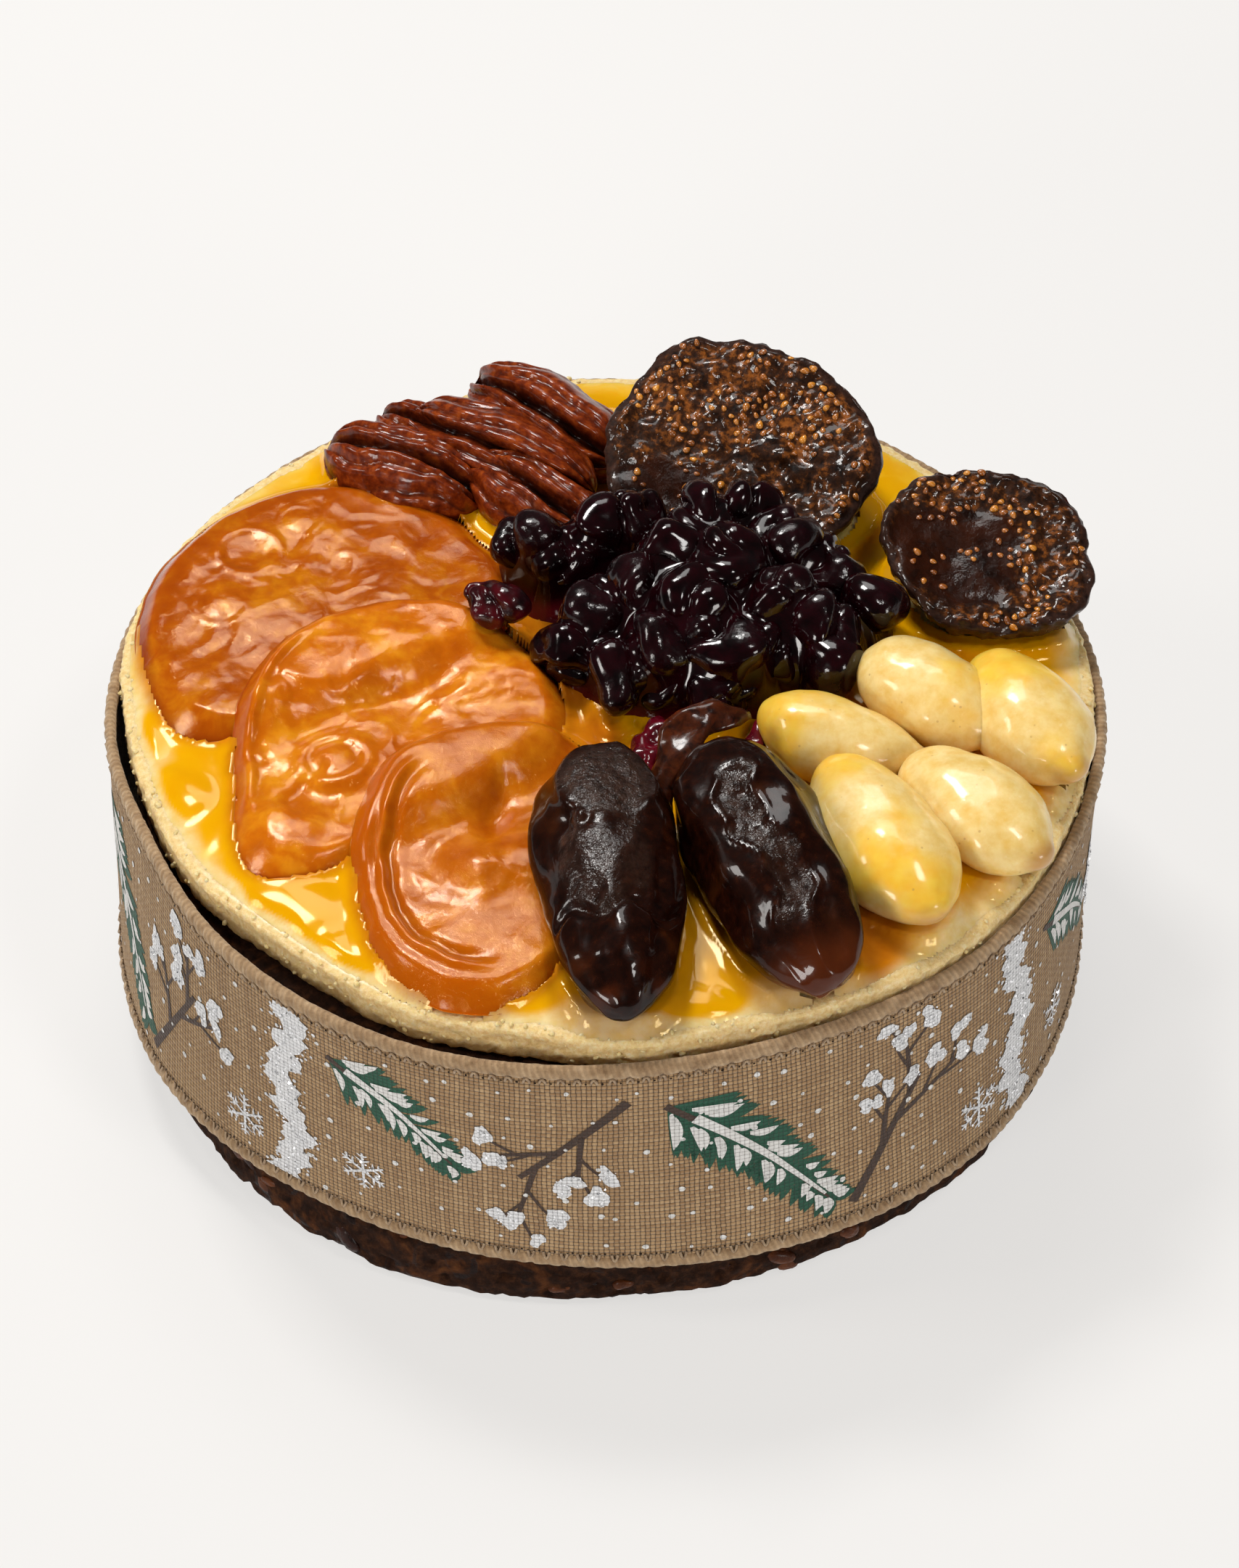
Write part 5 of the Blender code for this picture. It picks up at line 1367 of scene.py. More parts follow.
def date(name, size, at, heading, tilt, seed):
    long, wide, tall = size
    p, quads, tris = ball(124, 96)
    t = p[:, 0]
    ring = np.sqrt(np.maximum(1e-9, 1 - t * t))
    want = np.where(np.abs(t) < 1, np.maximum(1 - np.abs(t) ** 3.0, 0) ** 0.5, 0) * (1 - 0.10 * t)
    k = np.where(ring > 1e-4, want / ring, 0)
    a = np.arctan2(p[:, 2], p[:, 1])
    crease = 0.05 * np.cos(5 * a + 2.2 * t + seed) + 0.06 * lumps(np.stack([2.2 * t, p[:, 1], p[:, 2]], -1), 0.8, int(seed))
    co = np.stack([t * long / 2, p[:, 1] * k * wide / 2 * (1 + crease), p[:, 2] * k * tall / 2 * (1 + crease)], -1)
    nrm = normals_of(co, quads, tris)
    stretch = co * (0.45, 1.0, 1.0)
    up = step(0.1, 0.6, nrm[:, 2])
    big = 0.42 * (folds(stretch, 5.0, int(seed) + 20, 1) - 0.5) + 0.22 * lumps(co, 4.0, int(seed) + 22)
    fine = 0.07 * (folds(stretch, 1.9, int(seed) + 24, 1) - 0.5)
    if name == "date_1":
        # a flat, pebbled patch at the far end, a hollow beside it, then a pebbled back
        fx, fy = co[:, 0] + 9.4, co[:, 1] - 0.4
        disc = step(1.16, 0.84, np.hypot(fx / 5.2, fy / 4.4) + 0.10 * lumps(co, 2.6, 83)) * up
        back = step(1.1, 0.8, np.hypot((co[:, 0] - 0.5) / 7.4, (co[:, 1] + 0.6) / 4.4)) * up
        matte = np.clip(np.maximum(disc, back * (0.45 + 0.5 * lumps(co, 2.2, 77))), 0, 1)
        pebble = 0.26 * (0.55 - cells(co, 1.25, 14)[0]) + 0.10 * lumps(co, 0.8, 15)
        hollow = -1.1 * np.exp(-(((co[:, 0] + 4.3) / 1.5) ** 2 + ((co[:, 1] + 3.2) / 1.7) ** 2)) * up
        bead = 0.9 * np.clip(1 - ((co[:, 0] + 4.2) / 1.0) ** 2 - ((co[:, 1] + 2.9) / 1.1) ** 2, 0, 1) ** 0.7 * up
        ridge = 0.35 * np.exp(-((np.hypot(fx / 5.4, fy / 4.6) - 1.05) / 0.10) ** 2) * up
        tear = -0.55 * np.exp(-((co[:, 0] - 6.6 + 0.9 * np.sin(co[:, 1] * 1.1)) / 0.7) ** 2) * up
        push = (big + fine) * (1 - 0.75 * disc) + pebble * matte + hollow + bead + ridge * 0.7 + tear - 0.25 * disc
    else:
        # a torn strip along the back, its edges curled
        line = co[:, 1] + 0.9 - 0.9 * np.sin(co[:, 0] * 0.42) - 0.35 * np.sin(co[:, 0] * 1.3)
        band = step(-10.5, -8.0, co[:, 0]) * step(10.5, 7.5, co[:, 0])
        torn = step(2.1, 1.5, np.abs(line + 0.2 * np.sin(co[:, 0] * 2.7))) * up * band
        matte = np.clip(torn * (0.55 + 0.6 * lumps(co, 1.5, 78)), 0, 1)
        curl = 0.45 * np.exp(-((np.abs(line) - 2.0) / 0.32) ** 2) * up * band * (0.6 + 0.5 * lumps(co, 2.0, 79))
        push = big + fine - 0.40 * torn + curl + torn * (0.34 * (folds(co, 1.3, 80, 2) - 0.4))
    co = co + nrm * push[:, None]
    world = co @ turned(heading, tilt, 0).T
    low = np.clip(step(-1.6, -4.0, world[:, 2]) * 0.9 + (0.55 * step(9.5, 14.0, co[:, 0]) if name == "date_2" else 0.25 * step(10.0, 14.0, co[:, 0]) * step(0.2, -0.4, lumps(co, 3.0, 5))), 0, 1)
    return laid(name, co, quads, tris, at, heading, date_skin, "date", name, tilt=tilt, sink=0.8, marks={"matte": matte, "low": low})


def torn_flap():
    """A leaf of dark skin that curls off the far end of the second date."""
    rows, cols = 22, 10
    s = np.linspace(0, 1, rows)
    w = np.linspace(-1, 1, cols)
    S, W = np.meshgrid(s, w, indexing="ij")
    path = np.array([(5.4, -21.6, 40.6), (5.4, -18.8, 43.2), (6.6, -15.8, 45.4), (8.8, -13.4, 46.6), (11.4, -11.8, 46.4), (14.0, -10.8, 44.8)])
    k = np.clip((S * (len(path) - 1)).astype(int), 0, len(path) - 2)
    f = (S * (len(path) - 1) - k)[..., None]
    line = path[k] * (1 - f) + path[k + 1] * f
    half = 2.1 * np.sin(np.pi * np.clip(0.10 + 0.86 * S, 0, 1)) ** 0.7 * (1 + 0.18 * np.sin(S * 17))
    side = np.array((-0.62, 0.72, 0.30))
    co = line + side * (W * half)[..., None]
    co[..., 2] += -0.5 * W**2 + 0.35 * np.sin(S * 9 + W * 2.0)
    co = co.reshape(-1, 3)
    q = sweep(rows, cols, wrap=False)
    nrm = normals_of(co, q, None)
    co = co + nrm * (0.28 * lumps(co, 1.6, 91, 2))[:, None]
    nrm = normals_of(co, q, None)
    both = np.concatenate([co + nrm * 0.13, co - nrm * 0.13])
    n = len(co)
    border = np.concatenate([np.arange(cols), np.arange(1, rows) * cols + cols - 1, (rows - 1) * cols + np.arange(cols - 2, -1, -1), np.arange(rows - 2, 0, -1) * cols])
    nxt = np.roll(border, -1)
    quads = np.concatenate([q, q[:, ::-1] + n, np.stack([border, border + n, nxt + n, nxt], 1)])
    quads, _ = outward(both, quads, None)
    build("torn_date_skin", both, quads, None, flap_skin, "date")


def pecan(name, at, heading, size, tilt, roll, seed):
    long, wide, tall = size
    p, quads, tris = ball(92, 70)
    t = p[:, 0]
    ring = np.sqrt(np.maximum(1e-9, 1 - t * t))
    want = np.where(np.abs(t) < 1, np.maximum(1 - np.abs(t) ** 2.6, 0) ** 0.5, 0)
    k = np.where(ring > 1e-4, want / ring, 0)
    y, z = p[:, 1] * k, p[:, 2] * k
    up = np.maximum(0, z)
    wander = 0.10 * np.sin(4.0 * t + seed) + 0.05 * np.sin(9 * t + 2 * seed)
    furrow = np.exp(-(((y - 0.3 * wander) / 0.12) ** 2)) * step(0, 0.35, up)
    across = np.abs(y - 0.3 * wander) / np.maximum(want, 0.15)
    phase = across * 2.3 + 0.30 * np.sin(3.4 * t + seed + np.sign(y)) + 0.08 * np.sin(8 * t + 2 * seed)
    ridges = (np.abs(np.sin(np.pi * phase)) ** 0.9 - 0.5) * step(0.02, 0.3, up) * step(0.05, 0.3, want)
    cross = 0.06 * np.sin(22 * t + 5 * across + seed) * step(0, 0.4, up)
    top = (z - 0.46 * furrow + 0.17 * ridges + cross * 0.25) * tall
    co = np.stack([t * long / 2, y * wide / 2 * (1 + 0.05 * np.sin(7 * t + seed)), np.where(z > 0, top, z * tall * 0.28)], -1)
    nrm = normals_of(co, quads, tris)
    co = co + nrm * (0.10 * lumps(co, 1.6, seed + 40, 2) + 0.05 * (folds(co * (0.5, 1.4, 1.4), 0.9, seed + 44) - 0.5))[:, None]
    # painted shade: darker in the middle furrow and the hollows between the ridges
    dark = np.clip(furrow * 0.9 + step(0.0, -0.35, ridges) * 0.45, 0, 1) * (z > -0.05)
    laid(name, co, quads, tris, at, heading, pecan_skin, "pecan", name, tilt=tilt, roll=roll, sink=0.3, marks={"groove": dark})


# ---------------------------------------------------------------- figs


def fig(name, middle, height, reach, depth, dish, pitch, bank, seed, seeds, jelly_side):
    table = turns(reach)
    p, quads, tris = ball(200, 104)
    x, y, z = p[:, 2], p[:, 1], -p[:, 0]
    deg = np.degrees(np.arctan2(y, x))
    r = np.hypot(x, y)
    flat = np.stack([np.cos(np.radians(deg)) * 8, np.sin(np.radians(deg)) * 8, np.zeros(len(p))], -1)
    out = around(table, deg) * (0.985 + 0.030 * lumps(flat, 3.0, seed) + 0.022 * lumps(flat, 1.0, seed + 1))
    share = np.minimum(1.0, r**0.9)
    c, s = np.cos(np.radians(deg)), np.sin(np.radians(deg))
    spot = np.stack([out * share * c, out * share * s, np.zeros(len(p))], -1)
    curl = 0.9 * step(0.86, 0.98, share) * lumps(flat, 3.0, seed + 5)
    face = -dish * (1 - step(0.55, 0.95, share)) + 0.55 * lumps(spot, 4.5, seed) + 0.9 * np.maximum(1 - share**6, 0) ** 0.5 + curl
    under = -depth * np.maximum(1 - share**2.4, 0) ** 0.6
    upper = z >= 0
    co = np.stack([out * share * c, out * share * s, np.where(upper, face, under + curl * 0.6)], -1)
    nrm = normals_of(co, quads, tris)
    jx, jy, jr = jelly_side
    jelly = np.clip(step(1.15, 0.8, np.hypot(spot[:, 0] - jx, spot[:, 1] - jy) / jr + 0.25 * lumps(spot, 3.5, seed + 8)), 0, 1) * upper
    flesh = 0.30 * lumps(spot, 1.7, seed + 11, 2) + 0.25 * (0.5 - cells(spot, 1.5, seed)[0]) + 0.60 * (folds(spot, 4.2, seed + 13) - 0.5)
    gooey = 0.30 * lumps(spot, 4.0, seed + 15)
    skin = 0.45 * (folds(np.stack([deg / 360 * 60, share * 4, np.where(upper, 0, 5)], -1), 2.4, seed + 17, 2) - 0.5) + 0.15 * lumps(co, 1.5, seed + 18)
    rim = np.clip(step(0.90, 0.965, share + 0.02 * lumps(flat, 1.5, seed + 19)) + (~upper) * 1.0, 0, 1)
    push = np.where(upper, (flesh * (1 - jelly) + gooey * jelly) * (1 - rim) + skin * rim * 0.8, skin)
    co = co + nrm * push[:, None]
    turn = np.array(Matrix.Rotation(math.radians(pitch), 3, "X") @ Matrix.Rotation(math.radians(bank), 3, "Y"))
    co = co @ turn.T + (*middle, height)
    co[:, 2] = settle(co[:, 2])
    build(name + "_half", co, quads, tris, fig_flesh, "dried_fig", (name,), {"jelly": jelly, "rim": rim})
    tree = tree_of(co, quads, tris)
    above.look(tree, co.min(0), co.max(0))
    # seeds
    rng = np.random.default_rng(seed)
    lot = Lot()
    base, bq, bt = ball(8, 5)
    placed, tries = [], 0
    while len(placed) < seeds and tries < seeds * 30:
        tries += 1
        a, d = rng.uniform(-180, 180), math.sqrt(rng.random()) * 0.93
        rr = float(around(table, np.array(a))) * d
        q = np.array((rr * math.cos(math.radians(a)), rr * math.sin(math.radians(a)), 0.0))
        in_jelly = math.hypot(q[0] - jx, q[1] - jy) < jr
        clump = float(lumps(q[None], 4.2, seed + 30)[0])
        if rng.random() > (0.30 if in_jelly else 1.0) * (0.10 + 1.9 * clump) * (1 if d < 0.86 else 0.5):
            continue
        at = turn @ q + (*middle, height)
        hit, n, _, _ = tree.ray_cast(Vector((at[0], at[1], 90.0)), Vector((0, 0, -1)))
        if hit is None or any((hit - o).length < 0.85 for o in placed):
            continue
        placed.append(hit)
        n = np.array(n)
        e = np.cross(n, (rng.normal(), rng.normal(), rng.normal()))
        e /= np.linalg.norm(e)
        f = np.cross(n, e)
        size = rng.uniform(0.25, 0.40)
        drop = base * (size * 1.25, size * 0.95, size * 0.62)
        drop[:, 1] *= 1 - 0.25 * drop[:, 0] / size
        world = drop[:, 0:1] * e + drop[:, 1:2] * f + drop[:, 2:3] * n + np.array(hit) + n * size * rng.uniform(-0.05, 0.28)
        tone = rng.beta(2.2, 1.8) * (0.8 if in_jelly else 1.0)
        lot.add(world, bq, bt, {"tone": tone})
    lot.build(name + "_seeds", fig_seed, "dried_fig")
    return tree


# ---------------------------------------------------------------- cranberries

BERRIES = (
    (-6.9, 17.3, 5.8, 4.0), (-3.5, 14.8, 4.6, 3.4), (-0.4, 17.2, 7.0, 3.6), (3.5, 19.0, 8.0, 3.8), (6.6, 11.2, 9.0, 4.4), (10.1, 16.0, 9.5, 3.8),
    (12.8, 9.8, 9.5, 4.2), (18.4, 14.2, 8.0, 3.9), (14.8, 18.4, 8.5, 3.3), (22.4, 12.4, 6.5, 3.6), (26.6, 8.0, 5.5, 3.9), (-0.8, 5.9, 6.0, 4.2),
    (3.5, 7.4, 7.5, 3.8), (9.4, 4.7, 9.0, 4.0), (17.6, 4.7, 8.0, 4.2), (5.5, 1.6, 6.5, 3.9), (11.8, 0.2, 7.0, 4.2), (22.0, 2.6, 6.5, 4.4),
    (22.5, -0.4, 4.2, 3.9), (16.2, 1.0, 5.0, 3.6), (1.6, -1.2, 4.2, 4.1), (11.9, -3.2, 3.8, 3.7), (6.7, -0.9, 3.5, 3.2), (-3.6, 2.2, 4.0, 3.2),
)


def berry_shape(co, radius, k, crinkle):
    """Shrivels a round berry: broad dents, a few folds and, on some, a crackled skin."""
    broad = 0.34 * radius * lumps(co, radius * 1.35, 200 + k)
    deep = -0.34 * radius * (folds(co, radius * 2.0, 300 + k) ** 2.4)
    small = 0.022 * radius * lumps(co, radius * 0.5, 400 + k)
    crack = 0.09 * crinkle * (folds(co, 1.6, 500 + k) - 0.5) + 0.05 * crinkle * lumps(co, 1.0, 600 + k)
    return broad + deep + small + crack


def berries():
    lot = Lot()
    base, bq, bt = ball(60, 40)
    rng = np.random.default_rng(17)
    for k, (x, y, h, r) in enumerate(BERRIES):
        long = rng.uniform(1.0, 1.22)
        p = base * (r * long, r / math.sqrt(long), r * rng.uniform(0.88, 1.0))
        crinkle = 0.15 + 0.85 * step(-0.1, 0.45, lumps(p + k * 40, r * 1.2, 700))
        if k in (4, 6, 13, 19):
            crinkle = crinkle * 0.35
        if k in (15, 16, 0, 21):
            crinkle = np.clip(crinkle * 1.5, 0, 1.2)
        nrm = normals_of(p, bq, bt)
        p = p + nrm * berry_shape(p, r, k, crinkle)[:, None]
        p = p @ turned(rng.uniform(0, 360), rng.uniform(-35, 35), rng.uniform(0, 360)).T
        p = p + (x, y, MARZIPAN_TOP + h)
        p[:, 2] = np.maximum(p[:, 2], MARZIPAN_TOP + 0.05)
        height = p[:, 2] - MARZIPAN_TOP
        thin = step(2.6, 0.4, height) * 0.8 * (0.4 + 0.6 * step(-0.2, 0.5, lumps(p, 2.5, 720)))
        lot.add(p, bq, bt, {"crinkle": crinkle, "thin": thin})
    co, quads, tris = lot.arrays()
    lot.build("cranberries", cranberry, "cranberry", ("berry_heap",))
    tree = tree_of(co, quads, tris)
    above.look(tree, co.min(0), co.max(0))
    # the syrup that fills the heap between them
    i0, i1 = int((-14 + above.half) / above.pitch), int((33 + above.half) / above.pitch)
    j0, j1 = int((-9 + above.half) / above.pitch), int((26 + above.half) / above.pitch)
    top = above.z[i0:i1, j0:j1]
    full = top.copy()
    for reach in (16, 8, 4, 2):
        full = np.maximum(top, blurred(full, reach))
    sunk = blurred(full, 3) - 0.55
    X, Y = np.meshgrid(above.axis[i0:i1], above.axis[j0:j1], indexing="ij")
    flat = np.stack([X.ravel(), Y.ravel(), np.zeros(X.size)], -1)
    sunk = sunk + 0.25 * lumps(flat, 2.6, 730).reshape(X.shape)
    deg = np.degrees(np.arctan2(Y - 8.0, X - 9.6))
    inside = np.hypot(X - 9.6, Y - 8.0) / around(turns((19.6, 18.2, 12.0, 12.6, 14.6, 22.6, 18.2, 15.6, 14.0, 14.0, 14.0, 17.4)), deg) + 0.04 * lumps(flat, 3.0, 731).reshape(X.shape)
    sunk = MARZIPAN_TOP - 0.2 + (sunk - MARZIPAN_TOP + 0.2) * step(1.05, 0.84, inside)
    keep = (sunk > MARZIPAN_TOP - 0.1)
    number = -np.ones(X.shape, int)
    number[keep] = np.arange(keep.sum())
    a, b, c, d = number[:-1, :-1], number[1:, :-1], number[1:, 1:], number[:-1, 1:]
    whole = (a >= 0) & (b >= 0) & (c >= 0) & (d >= 0)
    sheet = np.stack([X[keep], Y[keep], sunk[keep]], -1)
    build("cranberry_syrup", sheet, np.stack([a[whole], b[whole], c[whole], d[whole]], -1), None, cranberry, "cranberry", marks={"crinkle": np.full(len(sheet), 0.1), "thin": step(3.0, 0.6, sheet[:, 2] - MARZIPAN_TOP) * 0.7})
    return tree


def raisin(name, node, size, point, seed, at, heading, tilt, z, mat, slot, sink=0.0, crinkle=0.8):
    long, wide, tall = size
    p, quads, tris = ball(70, 50)
    t = p[:, 0]
    k = (1 - 0.45 * step(-0.2, -1.0, t) * point) * (1 + 0.14 * lumps(p, 0.7, seed))
    co = np.stack([t * long / 2 - point * step(-0.7, -1.0, t), p[:, 1] * wide / 2 * k, p[:, 2] * tall / 2 * k], -1)
    nrm = normals_of(co, quads, tris)
    r = (wide + tall) / 4
    co = co + nrm * berry_shape(co, r, 900 + seed, crinkle)[:, None]
    thin = np.clip(0.25 + 0.6 * lumps(co, 1.6, seed + 4), 0, 1)
    laid(name, co, quads, tris, at, heading, mat, slot, node, tilt=tilt, sink=sink, z=z, press=z is None, marks={"crinkle": np.full(len(co), crinkle), "thin": thin})


# ---------------------------------------------------------------- apricot glaze

POOLS = (  # x, y, reach x, reach y, turn, depth in mm
    (-38.0, -9.0, 6.5, 3.2, -50, 1.2), (-31.5, -23.5, 6.5, 4.5, -40, 1.5), (-36.0, -17.0, 4.5, 4.0, 60, 1.3), (-24.5, -33.5, 5.5, 4.2, -30, 1.2),
    (-8.5, -39.5, 7.0, 3.4, 0, 1.0), (7.0, -41.0, 7.0, 3.6, 0, 1.2), (10.0, -35.0, 3.4, 7.0, 0, 1.4), (22.5, -37.5, 5.5, 4.6, 30, 1.1), (-29.0, -27.5, 9.0, 5.0, -42, 1.5), (-40.5, -12.5, 5.0, 3.4, -60, 1.3),
    (8.5, -22.0, 3.0, 5.0, 0, 1.3), (16.0, -16.5, 6.0, 3.0, 10, 0.9), (30.0, -14.5, 4.5, 4.0, 0, 1.1),
    (-12.0, 22.0, 6.0, 3.6, 10, 0.9), (-16.0, 27.5, 6.5, 3.0, -30, 0.9),
    (-2.0, 44.0, 8.0, 2.6, -5, 0.9), (26.5, 24.0, 2.4, 7.0, 0, 0.9), (0.0, -8.5, 4.0, 4.5, 0, 1.1), (-3.0, -7.5, 4.0, 3.0, 0, 1.0),
    (-1.5, 28.5, 3.5, 3.0, 0, 0.7), (-45.0, -4.0, 2.5, 5.0, 10, 0.8), (28.0, 1.5, 3.0, 4.0, 0, 0.8),
)

AMBER = ((-6.0, 9.0, 6.5), (-5.0, 2.0, 6.5), (-2.5, -6.5, 5.5), (2.0, -11.0, 4.0), (24.5, -34.0, 5.0), (21.5, -29.0, 3.0), (9.5, -19.0, 3.0))  # x, y, reach


def glaze_piece(dates, berry_trees):
    """The film of glaze: thin over the fruit and the marzipan, deep in the hollows between."""
    pitch = ground.pitch
    X, Y = np.meshgrid(ground.axis, ground.axis, indexing="ij")
    flat = np.stack([X.ravel(), Y.ravel(), np.zeros(X.size)], -1)
    R, A = np.hypot(X, Y), np.degrees(np.arctan2(Y, X))
    edge = around(MARZIPAN_RADIUS, A) - R
    base = ground.z.copy()
    base = np.where(base <= MARZIPAN_TOP + 0.001, marzipan_top_z(X.ravel(), Y.ravel()).reshape(X.shape), base)
    fruit = ground.z > MARZIPAN_TOP + 0.05
    deep = 0.09 + 0.04 * lumps(flat, 11.0, 120, 1).reshape(X.shape)
    for x, y, rx, ry, turn, d in POOLS:
        c, s = math.cos(math.radians(turn)), math.sin(math.radians(turn))
        u, v = ((X - x) * c + (Y - y) * s) / rx, (-(X - x) * s + (Y - y) * c) / ry
        q = np.hypot(u, v) + 0.12 * lumps(flat, 4.5, 131).reshape(X.shape)
        deep = np.maximum(deep, 0.74 * d * (1 - step(0.15, 1.30, q)))
    shy = step(0.6, 2.6, edge + 0.9 * lumps(flat, 4.0, 123).reshape(X.shape))
    deep *= shy
    surface = np.maximum(MARZIPAN_TOP + deep, base)
    # solids that stand in it, up to a little over its level
    stands = np.minimum(above.z, base + 1.5)
    held = np.maximum(base, stands)
    held = np.maximum(held, surface * (edge > 0.4) + base * (edge <= 0.4))
    level = held.copy()
    for reach in (9, 6, 4, 2):
        level = np.maximum(held, blurred(level, reach))
    for _ in range(3):
        level = np.maximum(held, blurred(level, 1))
    level = np.minimum(level, base + 1.9)
    # it thins out to nothing before the cut edge of the marzipan
    level = base + (level - base) * step(0.45, 2.2, edge)
    thick = level - base
    inner = fruit.copy()
    for _ in range(2):
        inner &= np.roll(inner, 1, 0) & np.roll(inner, -1, 0) & np.roll(inner, 1, 1) & np.roll(inner, -1, 1)
    level = np.where(inner, base - 0.2, level)
    bare = (thick < 0.05) | (edge < 0.5) | (fruit & (thick < 0.10)) | inner
    hidden = above.z > level + 0.9
    for _ in range(7):
        hidden &= np.roll(hidden, 1, 0) & np.roll(hidden, -1, 0) & np.roll(hidden, 1, 1) & np.roll(hidden, -1, 1)
    keep = ~(bare | hidden)
    for _ in range(1):
        keep |= (np.roll(keep, 1, 0) | np.roll(keep, -1, 0) | np.roll(keep, 1, 1) | np.roll(keep, -1, 1)) & (edge > 0.2)
    # one step beyond its border it dives under what it lies on
    height = np.where(bare, base - 0.10, level)
    number = -np.ones(X.shape, int)
    number[keep] = np.arange(keep.sum())
    co = np.stack([X[keep], Y[keep], height[keep]], -1)
    a, b, c, d = number[:-1, :-1], number[1:, :-1], number[1:, 1:], number[:-1, 1:]
    whole = (a >= 0) & (b >= 0) & (c >= 0) & (d >= 0)
    quads = np.stack([a[whole], b[whole], c[whole], d[whole]], -1)
    depth = np.clip((level - base) / 1.1, 0, 1)[keep]
    amber = fruit.astype(float)
    for x, y, r in AMBER:
        amber = np.maximum(amber, 1 - step(0.55, 1.15, np.hypot(X - x, Y - y) / r + 0.18 * lumps(flat, 3.5, 150).reshape(X.shape)))
    over = blurred(amber, 3)[keep]
    pale = ((1 - step(0.6, 5.0, edge + 1.5 * lumps(flat, 5.0, 151).reshape(X.shape))) * (1 - step(0.12, 0.40, deep)) * (1 - 0.8 * step(14.0, 34.0, Y)))[keep]
    # painted shade in the glaze round the dates' feet and in a spot beside the second date
    near = np.zeros(X.shape)
    for (x, y, rx, ry, turn) in dates:
        cc, s = math.cos(math.radians(turn)), math.sin(math.radians(turn))
        u, v = ((X - x) * cc + (Y - y) * s) / rx, (-(X - x) * s + (Y - y) * cc) / ry
        near = np.maximum(near, 1 - step(0.96, 1.14, np.hypot(u, v) + 0.05 * lumps(flat, 2.0, 140).reshape(X.shape)))
    near = np.maximum(near, 0.9 * (1 - step(0.0, 1.6, np.hypot(X - 21.3, Y + 34.5) - 1.2)))
    build("apricot_glaze", co, quads, None, glaze, "marzipan", marks={"deep": depth, "fruit": over * 0.9, "dark": near[keep] * 0.4, "pale": pale})


# ---------------------------------------------------------------- put together

cake_piece()
marzipan_piece()
ribbon, hems, sewing, eyes = ribbon_pieces()
prints = ribbon_prints()
slices()

almond("almond_1", (32.2, -4.7), -42, (15.8, 10.6, 8.8), 0.10, 0.0, 5, 1)
almond("almond_2", (41.3, -7.6), -62, (18.0, 10.8, 8.4), -0.10, 0.0, 0, 2)
almond("almond_3", (22.9, -10.4), -20, (16.4, 8.8, 7.8), 0.10, 1.2, 4, 3)
almond("almond_4", (35.6, -20.2), -47, (17.8, 10.8, 8.2), -0.06, 0.0, 0, 4)
almond("almond_5", (26.4, -23.9), -65, (21.4, 11.6, 8.8), -0.10, 0.0, 2, 5)
date("date_1", (32.3, 13.5, 10.4), (0.4, -29.8), -86, 4, 4.1)
date("date_2", (30.5, 13.6, 10.6), (15.6, -28.8), -69, 7, 1.3)
torn_flap()
pecan("pecan_1", (-20.2, 32.0), -27, (18.4, 9.6, 4.8), 0, 12, 1.0)
pecan("pecan_2", (-9.8, 33.0), -33, (22.0, 9.4, 5.0), 2, 38, 2.0)
pecan("pecan_3", (-5.0, 38.4), -42, (21.0, 9.6, 5.0), 1, 30, 3.0)
pecan("pecan_4", (-6.0, 25.8), -40, (18.6, 8.6, 5.0), 4, 18, 4.0)
pecan("pecan_5", (-18.0, 37.6), -34, (12.5, 7.0, 3.8), 0, 10, 5.0)
fig("fig_1", (14.6, 27.4), MARZIPAN_TOP + 8.6, (14.2, 13.0, 11.8, 12.8, 14.0, 14.0, 14.2, 14.4, 13.6, 13.6, 13.6, 13.8), 8.4, 0.8, 22, -3, 61, 180, (-9.0, -7.0, 6.5))
fig("fig_2", (39.0, 14.4), MARZIPAN_TOP + 6.4, (10.2, 10.8, 10.0, 9.4, 10.4, 11.0, 10.8, 10.2, 10.4, 10.4, 11.2, 11.4), 6.0, 0.8, 14, 4, 62, 92, (-3.5, -1.0, 7.0))
berries()
raisin("cranberry_alone", "lone_berry", (6.6, 5.2, 4.6), 0.25, 9, (-10.6, 7.9), -24, 10, 42.35, cranberry, "cranberry", crinkle=0.9)
raisin("cranberry_scrap_left", "berry_scrap_1", (8.2, 4.4, 3.0), 0.3, 11, (4.6, -9.0), 74, -6, None, cranberry_red, "cranberry_skin", sink=0.2, crinkle=0.5)
raisin("cranberry_scrap_right", "berry_scrap_2", (9.4, 3.4, 3.6), 0.3, 12, (14.8, -10.6), 80, -10, None, cranberry_red, "cranberry_skin", sink=0.2, crinkle=0.5)
glaze_piece(((0.4, -29.8, 17.4, 8.4, -86), (15.6, -28.8, 16.8, 8.4, -69)), None)

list(hems)


# ---------------------------------------------------------------- floor, light and camera


def floor():
    mesh = bpy.data.meshes.new("pale_floor")
    mesh.from_pydata([(-6, -6, 0), (6, -6, 0), (6, 6, 0), (-6, 6, 0)], [], [(0, 1, 2, 3)])
    mesh.update()
    obj = bpy.data.objects.new("pale_floor", mesh)
    bpy.context.scene.collection.objects.link(obj)
    mat = bpy.data.materials.new("pale_floor")
    mat.use_nodes = True
    b = mat.node_tree.nodes["Principled BSDF"]
    b.inputs["Base Color"].default_value = (0.24, 0.235, 0.23, 1)
    b.inputs["Roughness"].default_value = 0.75
    b.inputs["Specular IOR Level"].default_value = 0.1
    b.inputs["Emission Color"].default_value = (1.0, 0.985, 0.965, 1)
    b.inputs["Emission Strength"].default_value = 0.64
    mesh.materials.append(mat)


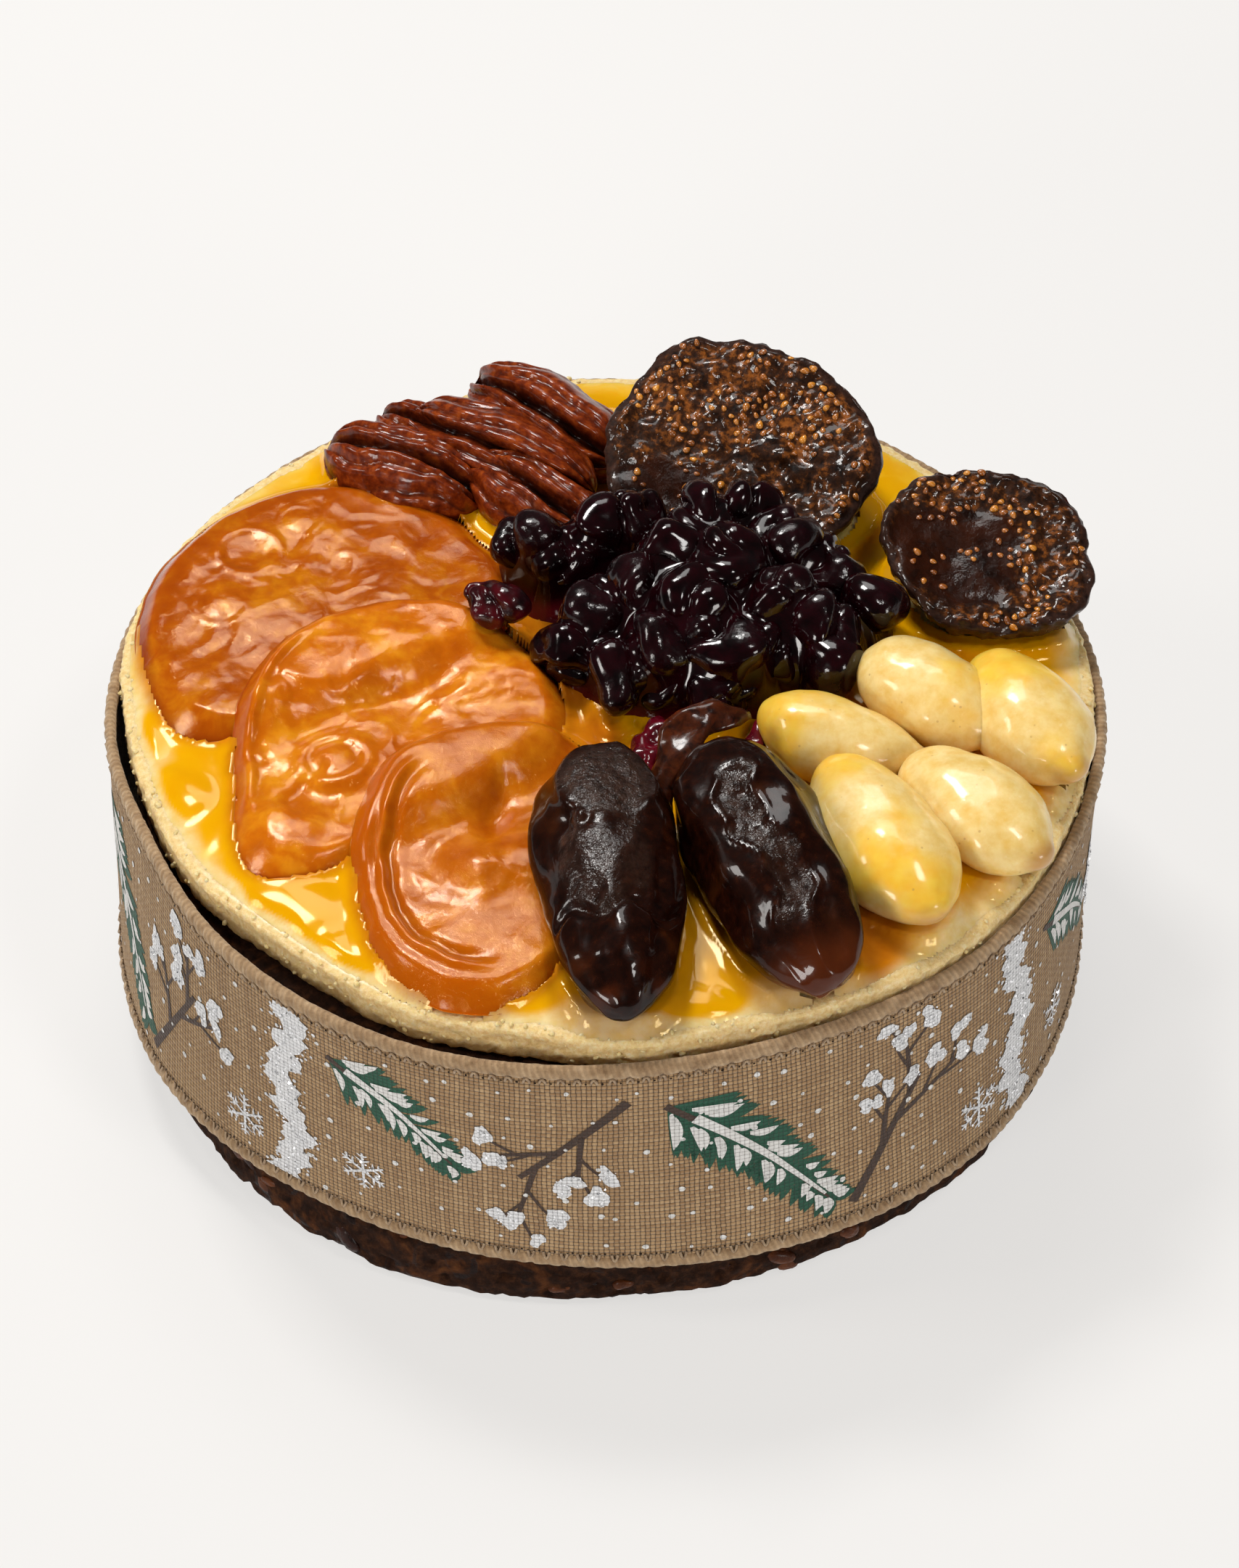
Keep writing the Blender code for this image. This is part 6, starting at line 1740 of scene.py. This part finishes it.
def area(name, at, target, size, power, color=(1, 1, 1), size_y=None):
    data = bpy.data.lights.new(name, "AREA")
    data.energy, data.color, data.size = power, color, size
    if size_y:
        data.shape, data.size_y = "RECTANGLE", size_y
    obj = bpy.data.objects.new(name, data)
    obj.location = at
    obj.rotation_euler = (Vector(target) - Vector(at)).to_track_quat("-Z", "Y").to_euler()
    bpy.context.scene.collection.objects.link(obj)
    return obj


def aimed(azimuth, elevation, distance):
    """A place seen from the cake at this bearing from the back, turning to the left, and this height."""
    a, e = math.radians(azimuth), math.radians(elevation)
    return (-math.sin(a) * math.cos(e) * distance, math.cos(a) * math.cos(e) * distance, 0.03 + math.sin(e) * distance)


floor()
area("window", aimed(32, 60, 0.60), (0, 0, 0.04), 0.13, 2.15, (1.0, 0.985, 0.96))
area("panel", aimed(2, 56, 0.60), (0, 0, 0.04), 0.22, 0.95, (1.0, 0.99, 0.97))
area("side", aimed(95, 38, 0.70), (0, 0, 0.03), 0.15, 1.15, (1.0, 0.97, 0.93))
area("fill", (0.22, -0.22, 0.62), (0, 0, 0.03), 0.10, 0.75, (1.0, 0.98, 0.96))
area("front_left", (-0.50, -0.70, 0.30), (0, 0, 0.02), 0.20, 2.45, (1.0, 0.97, 0.93))
area("front_right", (0.60, -0.60, 0.28), (0, 0, 0.02), 0.20, 1.85, (1.0, 0.97, 0.93))

world = bpy.context.scene.world or bpy.data.worlds.new("World")
bpy.context.scene.world = world
world.use_nodes = True
sky = world.node_tree.nodes["Background"]
sky.inputs["Color"].default_value = (1.0, 0.98, 0.96, 1)
sky.inputs["Strength"].default_value = 0.05

camera = bpy.data.cameras.new("camera")
camera.lens, camera.sensor_width, camera.sensor_fit = 116.6, 36.0, "AUTO"
camera.clip_start, camera.clip_end = 0.02, 20.0
camera.dof.use_dof = False
shot = bpy.data.objects.new("camera", camera)
right, up, ahead = Vector((0.9998847, -0.01260702, -0.008465)), Vector((0.01490446, 0.70805164, 0.70600335)), Vector((0.00290695, 0.70604811, -0.7081579))
turn = Matrix((right, up, -ahead)).transposed().to_4x4()
turn.translation = Vector((0.0, -0.36397, 0.38880))
shot.matrix_world = turn
bpy.context.scene.collection.objects.link(shot)
bpy.context.scene.camera = shot
bpy.context.scene.view_settings.view_transform = "Standard"
